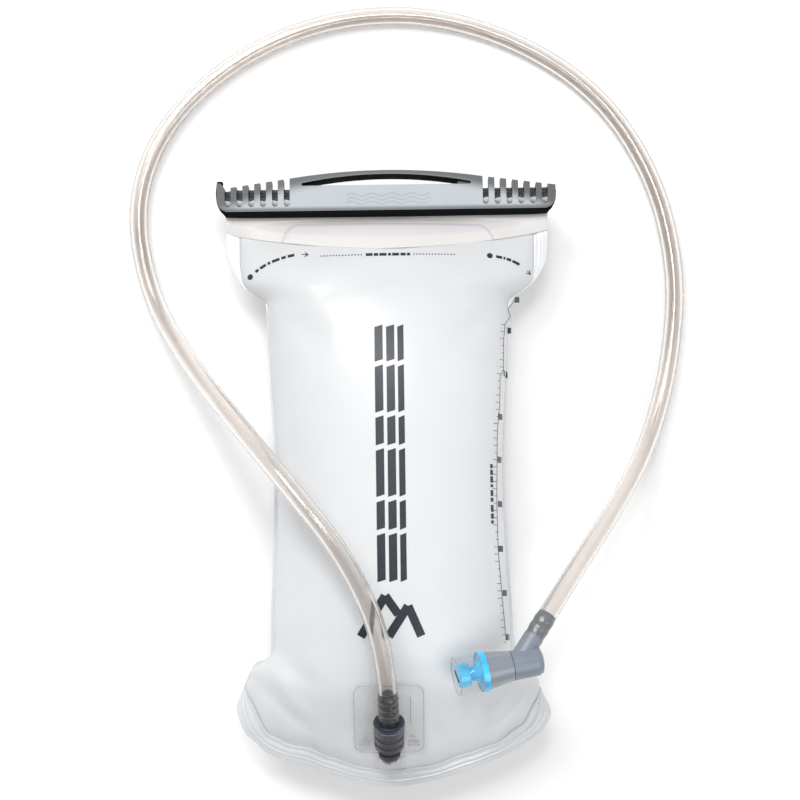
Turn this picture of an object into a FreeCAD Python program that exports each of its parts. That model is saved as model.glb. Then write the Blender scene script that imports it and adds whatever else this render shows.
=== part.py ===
import FreeCAD, Part
import Sketcher
import math
import os

# Hydration bladder with a slide-on top closure, a plug-in port, a drink tube and a bite valve.
# Millimetres. The bag lies on its back: X across it, +Y towards the slider, +Z out of its front face.
# The origin is on the surface it lies on, below the middle of the bag and its slider.

Vector = FreeCAD.Vector
doc = FreeCAD.newDocument("hydration_bladder")
sheet = doc.addObject("Spreadsheet::Sheet", "Size")

DRIVING_SIZES = [
    # bag
    ("seam_height", 31.2),
    ("film_thick", 0.8),
    ("crown_height", 40.0),
    ("belly_depth", 31.6),
    ("weld_half", 81.0),
    ("sheet_half", 82.5),
    ("bag_bottom", -154.8),
    ("mouth_line", 130.0),
    # folded mouth band and its rail
    ("band_half", 82.0),
    ("band_gap", 0.05),
    ("rail_middle", 140.5),
    ("rail_radius", 2.2),
    ("rail_gap", 0.15),
    ("fold_clear", 0.15),
    # slider
    ("slider_half", 86.0),
    ("slider_foot", 134.2),
    ("slider_top", 147.0),
    ("slider_back", 27.8),
    ("slider_depth", 12.8),
    ("slider_wall", 1.7),
    ("solid_half", 49.0),
    ("solid_top", 151.0),
    ("handle_top", 154.8),
    ("handle_half", 42.5),
    ("handle_thick", 2.0),
    ("end_top", 146.2),
    ("fin_pitch", 6.0),
    ("fin_gap", 3.0),
    ("slot_depth", 7.6),
    ("slot_foot", 136.4),
    ("corner_radius", 6.0),
    ("end_wall", 2.0),
    ("cavity_back", 30.0),
    ("slot_front", 35.2),
    ("cavity_front", 38.9),
    ("cavity_top", 145.2),
    # port
    ("port_x", -2.0),
    ("port_y", -122.9),
    ("port_z", 59.4),
    ("port_tilt", 36.0),
    ("plate_half", 17.2),
    ("plate_low", -24.3),
    ("plate_high", 18.3),
    ("plate_thick", 1.2),
    ("plate_corner", 5.0),
    ("face_drop", 9.5),
    ("socket_radius", 8.25),
    ("socket_bore", 7.3),
    ("socket_length", 24.0),
    ("bore_depth", 12.5),
    ("seat_thick", 1.0),
    ("seat_radius", 4.0),
    ("chamber_radius", 6.3),
    ("cap_thick", 1.8),
    ("inlet_radius", 3.0),
    ("inlet_level", -18.6),
    ("poppet_radius", 5.4),
    ("poppet_top", -16.8),
    ("poppet_thick", 1.5),
    ("seal_thick", 0.8),
    ("stem_radius", 1.5),
    ("guide_gap", 0.12),
    ("guide_radius", 2.6),
    ("spring_wire", 0.5),
    ("spring_mean", 3.6),
    # hose plug
    ("plug_radius", 7.2),
    ("flange_radius", 7.6),
    ("flange_thick", 2.2),
    ("plug_bore", 2.1),
    ("plug_length", 12.3),
    ("nose_radius", 3.6),
    ("ring_minor", 0.56),
    ("groove_width", 1.5),
    ("groove_depth", 1.0),
    ("lower_ring", -9.0),
    ("upper_ring", -5.0),
    ("barb_core", 3.1),
    ("barb_ridge", 3.5),
    ("barb_length", 17.0),
    # drink tube
    ("tube_outside", 9.5),
    ("tube_inside", 6.35),
    # elbow and bite valve
    ("elbow_x", 59.7),
    ("elbow_y", -94.4),
    ("elbow_z", 66.5),
    ("stem_azimuth", 56.0),
    ("stem_slope", -13.0),
    ("mouth_azimuth", 190.0),
    ("mouth_slope", 9.0),
    ("elbow_radius", 7.2),
    ("elbow_back", -12.8),
    ("elbow_front", 2.4),
    ("neck_radius", 5.0),
    ("neck_start", 2.5),
    ("neck_length", 16.5),
    ("neck_gap", 0.1),
    ("stem_barb", 12.5),
    ("stem_core", 2.9),
    ("stem_ridge", 3.15),
    ("tail_radius", 4.5),
    ("tail_depth", 6.0),
    ("core_radius", 5.7),
    ("core_front", 14.8),
    ("core_bore", 2.0),
    ("core_ring", 0.48),
    ("core_groove", 0.9),
    ("barrel_back", 2.7),
    ("barrel_front", 15.3),
    ("barrel_small", 7.25),
    ("barrel_large", 9.2),
    ("barrel_bore", 5.8),
    ("valve_ring", 9.8),
    ("valve_back", 15.4),
    ("valve_front", 18.4),
    ("valve_neck", 2.5),
    ("valve_bore", 1.5),
    ("tip_radius", 5.75),
    ("tip_back", 23.6),
    ("tip_front", 29.6),
    ("slit_length", 7.0),
    ("slit_width", 0.3),
    ("shield_radius", 9.75),
    ("shield_wall", 0.9),
    ("shield_back", 18.5),
    ("shield_front", 30.1),
]
for row, (alias, value) in enumerate(DRIVING_SIZES, start=1):
    sheet.set("A%d" % row, alias)
    sheet.set("B%d" % row, str(value))
    sheet.setAlias("B%d" % row, alias)
doc.recompute()


def size(alias):
    """The value of one cell of the sheet."""
    return float(sheet.get(alias))


def measure(expression):
    """The number that an expression gives, in the sheet's own sizes."""
    value = sheet.evalExpression(expression)
    return float(getattr(value, "Value", value))


# ---------------------------------------------------------------- bodies, sketches and booleans

def new_body(name):
    """A PartDesign body whose label is the sub-part's name."""
    body = doc.addObject("PartDesign::Body", name)
    body.Label = name
    return body


def new_sketch(body, name, role):
    """An empty sketch on one of the body's own origin planes."""
    sketch = body.newObject("Sketcher::SketchObject", name)
    plane = [feature for feature in body.Origin.OriginFeatures if feature.Role == role][0]
    sketch.AttachmentSupport = [(plane, "")]
    sketch.MapMode = "FlatFace"
    return sketch


def bind_point(sketch, edge, across, along):
    """Hold the start of an edge at a pair of expressions."""
    for kind, expression, axis in (("DistanceX", across, -2), ("DistanceY", along, -1)):
        value = measure(expression)
        if abs(value) < 1e-9:
            sketch.addConstraint(Sketcher.Constraint("PointOnObject", edge, 1, axis))
        else:
            number = sketch.addConstraint(Sketcher.Constraint(kind, -1, 1, edge, 1, value))
            sketch.setExpression("Constraints[%d]" % number, expression)


def add_outline(sketch, corners):
    """A closed outline of (x, y) expressions; a third one is the radius of the arc leaving a corner.

    Arcs bulge outwards, with the corners listed anticlockwise.
    """
    spots = [Vector(measure(corner[0]), measure(corner[1]), 0) for corner in corners]
    count = len(spots)
    first = sketch.GeometryCount
    for index, corner in enumerate(corners):
        start = spots[index]
        end = spots[(index + 1) % count]
        if len(corner) == 2:
            sketch.addGeometry(Part.LineSegment(start, end), False)
            continue
        radius = measure(corner[2])
        chord = end - start
        outward = Vector(chord.y, -chord.x, 0).normalize()
        rise = radius - math.sqrt(radius ** 2 - (chord.Length / 2) ** 2)
        middle = (start + end) * 0.5 + outward * rise
        sketch.addGeometry(Part.Arc(start, middle, end), False)
    for index, corner in enumerate(corners):
        edge = first + index
        following = first + (index + 1) % count
        sketch.addConstraint(Sketcher.Constraint("Coincident", edge, 2, following, 1))
        bind_point(sketch, edge, corner[0], corner[1])
        if len(corner) == 3:
            number = sketch.addConstraint(Sketcher.Constraint("Radius", edge, measure(corner[2])))
            sketch.setExpression("Constraints[%d]" % number, corner[2])


def turned_body(name, corners):
    """A body turned about its own Z from an outline of (radius, height) expressions."""
    body = new_body(name)
    sketch = new_sketch(body, name + "_profile", "XZ_Plane")
    add_outline(sketch, corners)
    turn = body.newObject("PartDesign::Revolution", name + "_turn")
    turn.Profile = sketch
    turn.ReferenceAxis = (sketch, ["V_Axis"])
    turn.Angle = 360.0
    body.Tip = turn
    return body


def padded_body(name, corners, start, depth):
    """A body padded along its own Z from the height start."""
    body = new_body(name)
    sketch = new_sketch(body, name + "_outline", "XY_Plane")
    add_outline(sketch, corners)
    sketch.setExpression("AttachmentOffset.Base.z", start)
    pad = body.newObject("PartDesign::Pad", name + "_pad")
    pad.Profile = sketch
    pad.setExpression("Length", depth)
    body.Tip = pad
    doc.recompute()
    return body


def box_outline(left, right, low, high):
    """The four corners of a rectangle, as expressions."""
    return [(left, low), (right, low), (right, high), (left, high)]


def pocket(body, name, outlines, start, depth):
    """Cut outlines out of a body, from the height start upwards by depth."""
    before = body.Shape.Volume
    sketch = new_sketch(body, name + "_outline", "XY_Plane")
    for corners in outlines:
        add_outline(sketch, corners)
    sketch.setExpression("AttachmentOffset.Base.z", start)
    cut = body.newObject("PartDesign::Pocket", name)
    cut.Profile = sketch
    cut.Reversed = True
    cut.setExpression("Length", depth)
    body.Tip = cut
    doc.recompute()
    if body.Shape.Volume >= before:
        raise RuntimeError(name + " cuts nothing")


def cylinder(name, radius, height, placement):
    """A Part cylinder along its own Z."""
    solid = doc.addObject("Part::Cylinder", name)
    solid.setExpression("Radius", radius)
    solid.setExpression("Height", height)
    solid.Placement = placement
    return solid


def box(name, sides, placement):
    """A Part box with three bound sides."""
    solid = doc.addObject("Part::Box", name)
    for side, expression in zip(("Length", "Width", "Height"), sides):
        solid.setExpression(side, expression)
    solid.Placement = placement
    return solid


def ring_group(name, major, minor, frame, levels):
    """Equal O-rings on one axis, as one group of separate rings."""
    rings = []
    for index, level in enumerate(levels):
        ring = doc.addObject("Part::Torus", "%s_%d" % (name, index + 1))
        ring.setExpression("Radius1", major)
        ring.setExpression("Radius2", minor)
        ring.Placement = at(frame, 0, 0, measure(level))
        rings.append(ring)
    group = doc.addObject("Part::Compound", name)
    group.Label = name
    group.Links = rings
    return group


def joined(name, pieces):
    """The union of some objects."""
    fuse = doc.addObject("Part::MultiFuse", name)
    fuse.Label = name
    fuse.Shapes = pieces
    return fuse


def cut_from(name, base, tool):
    """One object less another."""
    cut = doc.addObject("Part::Cut", name)
    cut.Label = name
    cut.Base = base
    cut.Tool = tool
    return cut


# ---------------------------------------------------------------- frames of the port and the valve

def direction(azimuth, slope):
    """The unit vector at an azimuth from +X and a slope above the horizontal, in degrees."""
    turn = math.radians(azimuth)
    rise = math.radians(slope)
    return Vector(math.cos(rise) * math.cos(turn), math.cos(rise) * math.sin(turn), math.sin(rise))


def at(frame, across, along, level, turn=None):
    """A placement given in another frame."""
    return frame.multiply(FreeCAD.Placement(Vector(across, along, level), turn or FreeCAD.Rotation()))


UP = Vector(0, 0, 1)
PORT_TURN = FreeCAD.Rotation(Vector(1, 0, 0), size("port_tilt") - 90.0)
PORT_AXIS = PORT_TURN.multVec(UP)
MOUTH_AXIS = direction(size("mouth_azimuth"), size("mouth_slope"))
STEM_AXIS = direction(size("stem_azimuth"), size("stem_slope"))
ELBOW_CENTRE = Vector(size("elbow_x"), size("elbow_y"), size("elbow_z"))
# port frame: Z out of the socket along the plug, Y down into the bag's face
PORT = FreeCAD.Placement(Vector(size("port_x"), size("port_y"), size("port_z")), PORT_TURN)
# valve frame: Z along the mouthpiece, out of the mouth; stem frame: Z along the elbow's neck
VALVE = FreeCAD.Placement(ELBOW_CENTRE, FreeCAD.Rotation(UP, MOUTH_AXIS))
STEM = FreeCAD.Placement(ELBOW_CENTRE, FreeCAD.Rotation(UP, STEM_AXIS))
WORLD = FreeCAD.Placement()

PARTS = {}


def keep(piece, placement=None):
    """List a sub-part under its label, and put it in its place."""
    if placement is not None:
        piece.Placement = placement
    PARTS[piece.Label] = piece
    return piece


def shaped_part(label, shape):
    """A sub-part whose shape is set directly."""
    feature = doc.addObject("Part::Feature", label)
    feature.Label = label
    feature.Shape = shape
    return keep(feature, WORLD)


# ---------------------------------------------------------------- bag

# cross-sections of the filled bag, from its bottom weld to its mouth: y of the middle, y at the side
# weld, then half width, front height and back depth as shares of weld_half, crown_height, belly_depth
STATIONS = [
    (-145.3, -112.0, 0.815, 0.000, 0.000),
    (-139.0, -108.5, 0.883, 0.175, 0.400),
    (-128.0, -104.0, 0.926, 0.350, 0.700),
    (-118.0, -99.5, 0.914, 0.518, 0.890),
    (-108.0, -95.0, 0.864, 0.680, 0.970),
    (-98.0, -90.5, 0.772, 0.815, 1.000),
    (-88.0, -86.0, 0.738, 0.908, 1.000),
    (-70.0, -70.0, 0.735, 0.975, 1.000),
    (-40.0, -40.0, 0.716, 1.000, 1.000),
    (0.0, 0.0, 0.704, 1.000, 1.000),
    (40.0, 40.0, 0.728, 0.993, 1.000),
    (60.0, 60.0, 0.747, 0.955, 1.000),
    (80.0, 80.0, 0.762, 0.863, 0.985),
    (92.0, 89.0, 0.759, 0.758, 0.930),
    (103.0, 97.0, 0.864, 0.618, 0.820),
    (112.0, 105.0, 0.975, 0.465, 0.650),
    (120.0, 114.0, 1.000, 0.300, 0.420),
    (126.0, 121.0, 1.000, 0.150, 0.200),
    (130.0, 130.0, 0.994, 0.000, 0.000),
]
# right half of the welded sheet's edge, from the bottom ear up to the shoulder
SHEET_EDGE = [
    (80.5, -117.0), (78.5, -106.0), (72.0, -93.5), (63.0, -86.5), (61.2, -76.0),
    (58.6, 0.0), (63.0, 74.0), (64.0, 85.5), (71.5, 94.0), (80.5, 102.5), (82.5, 112.0),
]
STEPS_ACROSS = 10
BOTTOM_STEPS = 6
BOTTOM_POWER = 2.4
FRONT_POWER = 2.0
BACK_POWER = 4.0

seam = size("seam_height")
film = size("film_thick")
crown = size("crown_height")
belly = -size("belly_depth")


def dome_point(station, share, height, power, inset):
    """A point of the bag's front or back, at a share of -1 to 1 across it, moved inwards by inset."""
    middle, side, width, rise, depth = station
    half = width * size("weld_half") - inset
    fullness = rise if height > 0 else depth
    top = max(fullness * abs(height) - inset, 0.0)
    lift = top * math.sqrt(max(1.0 - abs(share) ** power, 0.0))
    along = middle + (side - middle) * abs(share) ** BOTTOM_POWER
    return Vector(half * share, along, seam + math.copysign(lift, height))


def closed_solid(faces):
    """The solid inside faces that share their edges."""
    shell = Part.makeShell(faces)
    shell.sewShape()
    solid = Part.makeSolid(Part.Shell(shell.Faces))
    if solid.Volume < 0:
        solid.reverse()
    return solid


def dome_solid(height, power, inset):
    """The closed space between the seam plane and one side of the bag."""
    first = (STATIONS[0][0] + inset, STATIONS[0][1] + inset) + STATIONS[0][2:]
    last = (STATIONS[-1][0] - inset, STATIONS[-1][1] - inset) + STATIONS[-1][2:]
    stations = [first] + STATIONS[1:-1] + [last]
    steps = range(-STEPS_ACROSS, STEPS_ACROSS + 1)
    shares = [math.sin(math.pi / 2 * step / STEPS_ACROSS) for step in steps]
    surface = Part.BSplineSurface()
    surface.interpolate([[dome_point(station, share, height, power, inset) for share in shares]
                         for station in stations])
    skin = surface.toShape()
    base = Part.Face(Part.Wire(Part.__sortEdges__(skin.Edges)))
    return closed_solid([skin, base])


def welded_sheet(thickness):
    """The flat sheet round the bag: bowed bottom edge with two ears, sides, shoulders and mouth."""
    tip_x, tip_y = SHEET_EDGE[0]
    bottom = size("bag_bottom")
    half = size("sheet_half")
    top = size("mouth_line")
    bow = []
    for step in range(-BOTTOM_STEPS, BOTTOM_STEPS + 1):
        share = step / BOTTOM_STEPS
        bow.append(Vector(tip_x * share, bottom + (tip_y - bottom) * abs(share) ** BOTTOM_POWER, seam))
    right = [Vector(across, along, seam) for across, along in SHEET_EDGE]
    left = [Vector(-across, along, seam) for across, along in SHEET_EDGE]
    edges = []
    for points in (bow, right, left):
        curve = Part.BSplineCurve()
        curve.interpolate(points)
        edges.append(curve.toShape())
    corners = [right[-1], Vector(half, top, seam), Vector(-half, top, seam), left[-1]]
    for start, end in zip(corners[:-1], corners[1:]):
        edges.append(Part.LineSegment(start, end).toShape())
    outline = Part.Face(Part.Wire(Part.__sortEdges__(edges)))
    return outline.extrude(Vector(0, 0, thickness))


front_outside = dome_solid(crown, FRONT_POWER, 0.0)
front_inside = dome_solid(crown, FRONT_POWER, film)
back_outside = dome_solid(belly, BACK_POWER, 0.0)
back_inside = dome_solid(belly, BACK_POWER, film)
ground = Part.makeBox(400, 400, 20, Vector(-200, -200, -20))

# the water's way in crosses the front film, the plate and the socket's wall
inlet = cylinder("inlet_hole", "Size.inlet_radius", "Size.face_drop * 2",
                 at(PORT, 0, 0, size("inlet_level"), FreeCAD.Rotation(UP, Vector(0, 1, 0))))
doc.recompute()

front_shell = front_outside.fuse(welded_sheet(film)).cut(front_inside).cut(inlet.Shape)
# the belly is cut flat where it rests on the ground
back_shell = back_outside.cut(ground).fuse(welded_sheet(-film)).cut(back_inside)
for panel_name, panel_shell in (("front_panel", front_shell), ("back_panel", back_shell)):
    shaped_part(panel_name, max(panel_shell.Solids, key=lambda solid: solid.Volume))

# ---------------------------------------------------------------- folded mouth band and its rail

COLUMNS = 6
EDGE_LOW = 112.8
EDGE_RISE = 11.5
EDGE_POWER = 1.8
DRAPE_START = 132.5
DRAPE_LIFT = 1.4
DRAPE_STEPS = 5
MOUTH_STATIONS = 6
FOLD_STEPS = 36

fold_radius = size("rail_radius") + size("fold_clear") + film / 2
rail_y = size("rail_middle")
rail_z = seam + film / 2 + fold_radius


def bag_lift(along, share):
    """How far the bag's front stands above the seam at a place near its mouth."""
    stations = STATIONS[-MOUTH_STATIONS:]
    spots = [dome_point(station, share, crown, FRONT_POWER, 0.0) for station in stations]
    for low, high in zip(spots[:-1], spots[1:]):
        if low.y <= along <= high.y:
            return low.z + (high.z - low.z) * (along - low.y) / (high.y - low.y) - seam
    return 0.0


def fold_path(share):
    """Middle of the inner lip at one place across: up the back, round the rail and down the front."""
    path = [(size("mouth_line"), rail_z - fold_radius), (135.5, rail_z - fold_radius)]
    for turn in (0, 30, 60, 90, 120, 150, 180, 215, 248):
        angle = math.radians(turn)
        path.append((rail_y + fold_radius * math.sin(angle), rail_z - fold_radius * math.cos(angle)))
    path += [(136.9, 33.9), (135.8, 33.0), (134.2, 32.65)]
    edge = EDGE_LOW + EDGE_RISE * abs(share) ** EDGE_POWER
    for step in range(DRAPE_STEPS + 1):
        along = DRAPE_START + (edge - DRAPE_START) * step / DRAPE_STEPS
        path.append((along, seam + DRAPE_LIFT + bag_lift(along, share)))
    return path


def even_steps(path):
    """The same path, with its points the same distance apart."""
    lengths = [0.0]
    for start, end in zip(path[:-1], path[1:]):
        lengths.append(lengths[-1] + math.hypot(end[0] - start[0], end[1] - start[1]))
    evened = []
    leg = 0
    for step in range(FOLD_STEPS + 1):
        reach = lengths[-1] * step / FOLD_STEPS
        while leg < len(path) - 2 and lengths[leg + 1] < reach:
            leg += 1
        share = (reach - lengths[leg]) / (lengths[leg + 1] - lengths[leg])
        start = path[leg]
        end = path[leg + 1]
        evened.append((start[0] + (end[0] - start[0]) * share, start[1] + (end[1] - start[1]) * share))
    return evened


def offset_path(path, distance):
    """The path moved sideways, away from the rail."""
    moved = []
    last = len(path) - 1
    for index, (along, level) in enumerate(path):
        before = path[max(index - 1, 0)]
        after = path[min(index + 1, last)]
        run = math.hypot(after[0] - before[0], after[1] - before[1])
        moved.append((along + (after[1] - before[1]) / run * distance,
                      level - (after[0] - before[0]) / run * distance))
    return moved


def thick_sheet(near, far):
    """The closed solid between two facing grids of points, in rows that are each flat across X."""
    surfaces = []
    for grid in (near, far):
        surface = Part.BSplineSurface()
        surface.interpolate(grid)
        surfaces.append(surface)
    faces = [surface.toShape() for surface in surfaces]
    for end in (0, 1):
        # flat end, across the band
        rims = [surface.uIso(surface.bounds()[end]) for surface in surfaces]
        starts = [rim.value(rim.FirstParameter) for rim in rims]
        ends = [rim.value(rim.LastParameter) for rim in rims]
        edges = [rims[0].toShape(), Part.LineSegment(ends[0], ends[1]).toShape(),
                 rims[1].toShape(), Part.LineSegment(starts[1], starts[0]).toShape()]
        faces.append(Part.Face(Part.Wire(Part.__sortEdges__(edges))))
        # long edge, along the band
        rims = [surface.vIso(surface.bounds()[end + 2]) for surface in surfaces]
        faces.append(Part.makeRuledSurface(rims[0].toShape(), rims[1].toShape()))
    return closed_solid(faces)


def lip(first, last):
    """One lip of the mouth, between two distances outside the inner lip's middle."""
    grids = []
    for distance in (first, last):
        grid = []
        for step in range(-COLUMNS, COLUMNS + 1):
            share = step / COLUMNS
            grid.append([Vector(size("band_half") * share, along, level)
                         for along, level in offset_path(even_steps(fold_path(share)), distance)])
        grids.append(grid)
    return thick_sheet(grids[0], grids[1])


outer_start = film / 2 + size("band_gap")
shaped_part("mouth_band_front", lip(-film / 2, film / 2))
shaped_part("mouth_band_back", lip(outer_start, outer_start + film))
keep(cylinder("fold_rail", "Size.rail_radius - Size.rail_gap", "Size.band_half * 2",
              FreeCAD.Placement(Vector(-size("band_half"), rail_y, rail_z),
                                FreeCAD.Rotation(UP, Vector(1, 0, 0)))))

# ---------------------------------------------------------------- slider

arch_rise = "(Size.handle_top - Size.solid_top)"
arch_radius = "(Size.solid_half ^ 2 + %s ^ 2) / (2 * %s)" % (arch_rise, arch_rise)
slider = padded_body("slider", [
    ("-Size.slider_half + Size.corner_radius", "Size.slider_foot"),
    ("Size.slider_half - Size.corner_radius", "Size.slider_foot", "Size.corner_radius"),
    ("Size.slider_half", "Size.slider_foot + Size.corner_radius"),
    ("Size.slider_half", "Size.end_top"),
    ("Size.solid_half", "Size.solid_top", arch_radius),
    ("-Size.solid_half", "Size.solid_top"),
    ("-Size.slider_half + 4", "Size.end_top"),
    ("-Size.slider_half + 2", "Size.end_top + 2.6"),
    ("-Size.slider_half", "Size.end_top + 3"),
    ("-Size.slider_half", "Size.slider_foot + Size.corner_radius", "Size.corner_radius"),
], "Size.slider_back", "Size.slider_depth")

slot_rise = "(Size.handle_top - Size.handle_thick - Size.slider_top - 1.6)"
pocket(slider, "handle_slot", [[
    ("-Size.handle_half", "Size.slider_top + 0.2"),
    ("Size.handle_half", "Size.slider_top + 0.2", "0.72"),
    ("Size.handle_half", "Size.slider_top + 1.6",
     "(Size.handle_half ^ 2 + %s ^ 2) / (2 * %s)" % (slot_rise, slot_rise)),
    ("-Size.handle_half", "Size.slider_top + 1.6", "0.72"),
]], "Size.slider_back - 1", "Size.slider_depth + 2")
closed_end = "-Size.slider_half + Size.end_wall"
open_end = "Size.slider_half + 1"
foot_inside = "Size.slider_foot + Size.slider_wall"
pocket(slider, "fold_cavity", [box_outline(closed_end, open_end, foot_inside, "Size.cavity_top")],
       "Size.cavity_back", "Size.cavity_front - Size.cavity_back")
slot_outline = box_outline(closed_end, open_end, "Size.slider_foot - 1", foot_inside + " + 0.5")
pocket(slider, "fold_slot", [slot_outline], "Size.cavity_back", "Size.slot_front - Size.cavity_back")
fin_gaps = []
for step in range(6):
    inner_edge = "Size.solid_half + %d * Size.fin_pitch" % step
    outer_edge = inner_edge + " + Size.fin_gap"
    for near, far in ((inner_edge, outer_edge), ("-(%s)" % outer_edge, "-(%s)" % inner_edge)):
        foot = "Size.slot_foot + Size.fin_gap / 2"
        top = "Size.handle_top + 1"
        fin_gaps.append([(near, foot, "Size.fin_gap / 2 + 0.01"), (far, foot), (far, top), (near, top)])
pocket(slider, "fin_gaps", fin_gaps, "Size.slider_back + Size.slider_depth - Size.slot_depth",
       "Size.slot_depth + 1")
keep(slider, WORLD)

# ---------------------------------------------------------------- port, in the port frame

PLATE_SUNK = 3.0

plate_blank = padded_body("port_plate_blank", [
    ("-Size.plate_half + Size.plate_corner", "Size.plate_low"),
    ("Size.plate_half - Size.plate_corner", "Size.plate_low", "Size.plate_corner"),
    ("Size.plate_half", "Size.plate_low + Size.plate_corner"),
    ("Size.plate_half", "Size.plate_high - Size.plate_corner", "Size.plate_corner"),
    ("Size.plate_half - Size.plate_corner", "Size.plate_high"),
    ("-Size.plate_half + Size.plate_corner", "Size.plate_high", "Size.plate_corner"),
    ("-Size.plate_half", "Size.plate_high - Size.plate_corner"),
    ("-Size.plate_half", "Size.plate_low + Size.plate_corner", "Size.plate_corner"),
], "0", "Size.plate_thick + %s" % PLATE_SUNK)
plate_turn = FreeCAD.Rotation(Vector(1, 0, 0), 90)
plate_blank.Placement = at(PORT, 0, size("face_drop") + PLATE_SUNK, 0, plate_turn)
rib_top = size("face_drop") - size("plate_thick") - 1.2
RIB_ROWS = ((-11.0, 9.0, 5.8), (-13.2, 9.0, 5.8), (-8.6, 10.2, 2.4))
ribs = []
for side in (-1, 1):
    for number, (level, start, reach) in enumerate(RIB_ROWS):
        rib = box("port_rib_%s_%d" % ("left" if side < 0 else "right", number + 1),
                  (str(reach), "2.0", "1.0"),
                  at(PORT, side * (start + reach / 2) - reach / 2, rib_top, level))
        ribs.append(rib)
bag_space = doc.addObject("Part::Feature", "bag_space")
bag_space.Shape = front_outside
plate_solid = joined("port_plate_solid", [plate_blank] + ribs)
plate_fitted = cut_from("port_plate_fitted", plate_solid, bag_space)
keep(cut_from("port_plate", plate_fitted, inlet))

socket_end = "-Size.socket_length"
seat_top = "-Size.bore_depth"
seat_foot = "-Size.bore_depth - Size.seat_thick"
socket_blank = turned_body("port_socket_blank", [
    ("Size.socket_bore", "0"),
    ("Size.socket_bore", seat_top),
    ("Size.seat_radius", seat_top),
    ("Size.seat_radius", seat_foot),
    ("Size.chamber_radius", seat_foot),
    ("Size.chamber_radius", socket_end),
    ("Size.socket_radius", socket_end),
    ("Size.socket_radius", "0"),
])
socket_blank.Placement = PORT
keep(cut_from("port_socket", socket_blank, inlet))

cap_top = socket_end + " + Size.cap_thick"
guide_bore = "Size.stem_radius + Size.guide_gap"
keep(turned_body("spring_cap", [
    ("0", socket_end),
    ("Size.chamber_radius", socket_end),
    ("Size.chamber_radius", cap_top),
    ("Size.guide_radius", cap_top),
    ("Size.guide_radius", cap_top + " + 2"),
    (guide_bore, cap_top + " + 2"),
    (guide_bore, socket_end + " + 0.5"),
    ("0", socket_end + " + 0.5"),
]), PORT)

poppet_foot = "Size.poppet_top - Size.poppet_thick"
keep(turned_body("poppet", [
    ("0", socket_end + " + 0.8"),
    ("Size.stem_radius", socket_end + " + 0.8"),
    ("Size.stem_radius", poppet_foot),
    ("Size.poppet_radius", poppet_foot),
    ("Size.poppet_radius", "Size.poppet_top"),
    ("0", "Size.poppet_top"),
]), PORT)
keep(turned_body("poppet_seal", [
    ("Size.seat_radius + 0.3", "Size.poppet_top"),
    ("Size.poppet_radius - 0.1", "Size.poppet_top"),
    ("Size.poppet_radius - 0.1", "Size.poppet_top + Size.seal_thick"),
    ("Size.seat_radius + 0.3", "Size.poppet_top + Size.seal_thick"),
]), PORT)

SPRING_TURNS = 3.5
SPRING_END_GAP = 0.08
wire = size("spring_wire")
spring_low = measure(cap_top) + wire / 2 + SPRING_END_GAP
spring_high = measure(poppet_foot) - wire / 2 - SPRING_END_GAP
spring_length = spring_high - spring_low
coil = Part.makeHelix(spring_length / SPRING_TURNS, spring_length, size("spring_mean"))
wire_section = Part.Wire(Part.makeCircle(wire / 2, Vector(size("spring_mean"), 0, 0), Vector(0, 1, 0)))
spring_shape = Part.Wire(coil.Edges).makePipeShell([wire_section], True, True)
spring = doc.addObject("Part::Feature", "poppet_spring")
spring.Label = "poppet_spring"
spring.Shape = spring_shape
keep(spring, at(PORT, 0, 0, spring_low))

# ---------------------------------------------------------------- hose plug, in the port frame

def barb(core, ridge, start, length, count):
    """The outline of a barbed stem, from its foot to its tip, as (radius, height) expressions."""
    pitch = length / count
    corners = [(core, "%s" % start)]
    for number in range(count):
        foot = start + pitch * (number + 0.35)
        corners.append((core, "%s" % foot))
        corners.append((ridge, "%s" % foot))
        corners.append((core, "%s" % (start + pitch * (number + 0.95))))
    corners.append((core, "%s" % (start + length)))
    return corners


def groove(radius, depth, level, width):
    """The four corners of a ring groove, going up the outline."""
    low = "%s - %s / 2" % (level, width)
    high = "%s + %s / 2" % (level, width)
    foot = "%s - %s" % (radius, depth)
    return [(radius, low), (foot, low), (foot, high), (radius, high)]


plug_end = "Size.poppet_top + 0.05"
plug_foot = "-Size.plug_length"
plug_barb = barb("Size.barb_core", "Size.barb_ridge", size("flange_thick"), size("barb_length"), 4)
plug_blank = turned_body(
    "hose_plug_blank",
    [("Size.plug_bore", plug_end), ("Size.nose_radius", plug_end), ("Size.nose_radius", plug_foot),
     ("Size.plug_radius", plug_foot)]
    + groove("Size.plug_radius", "Size.groove_depth", "Size.lower_ring", "Size.groove_width")
    + groove("Size.plug_radius", "Size.groove_depth", "Size.upper_ring", "Size.groove_width")
    + [("Size.plug_radius", "0.1"), ("Size.flange_radius", "0.1")]
    + [("Size.flange_radius", "Size.flange_thick")]
    + plug_barb
    + [("Size.plug_bore", plug_barb[-1][1])])
plug_blank.Placement = PORT
# a notch across the nose lets the water in when it stands on the poppet
notch = box("nose_notch", ("Size.nose_radius * 2 + 1", "2.4", "2.4"),
            at(PORT, -size("nose_radius") - 0.5, -1.2, measure(plug_end) - 0.4))
keep(cut_from("hose_plug", plug_blank, notch))
keep(ring_group("plug_o_rings", "Size.plug_radius - Size.groove_depth + Size.ring_minor - 0.06",
                "Size.ring_minor", PORT, ("Size.lower_ring", "Size.upper_ring")))

# ---------------------------------------------------------------- drink tube

FIRST_RUN = 42.0
LAST_RUN = 44.0
ARC_SHARE = 0.45

tube_start = PORT.multVec(Vector(0, 0, size("flange_thick")))
tube_end = ELBOW_CENTRE + STEM_AXIS * size("neck_length")
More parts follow.
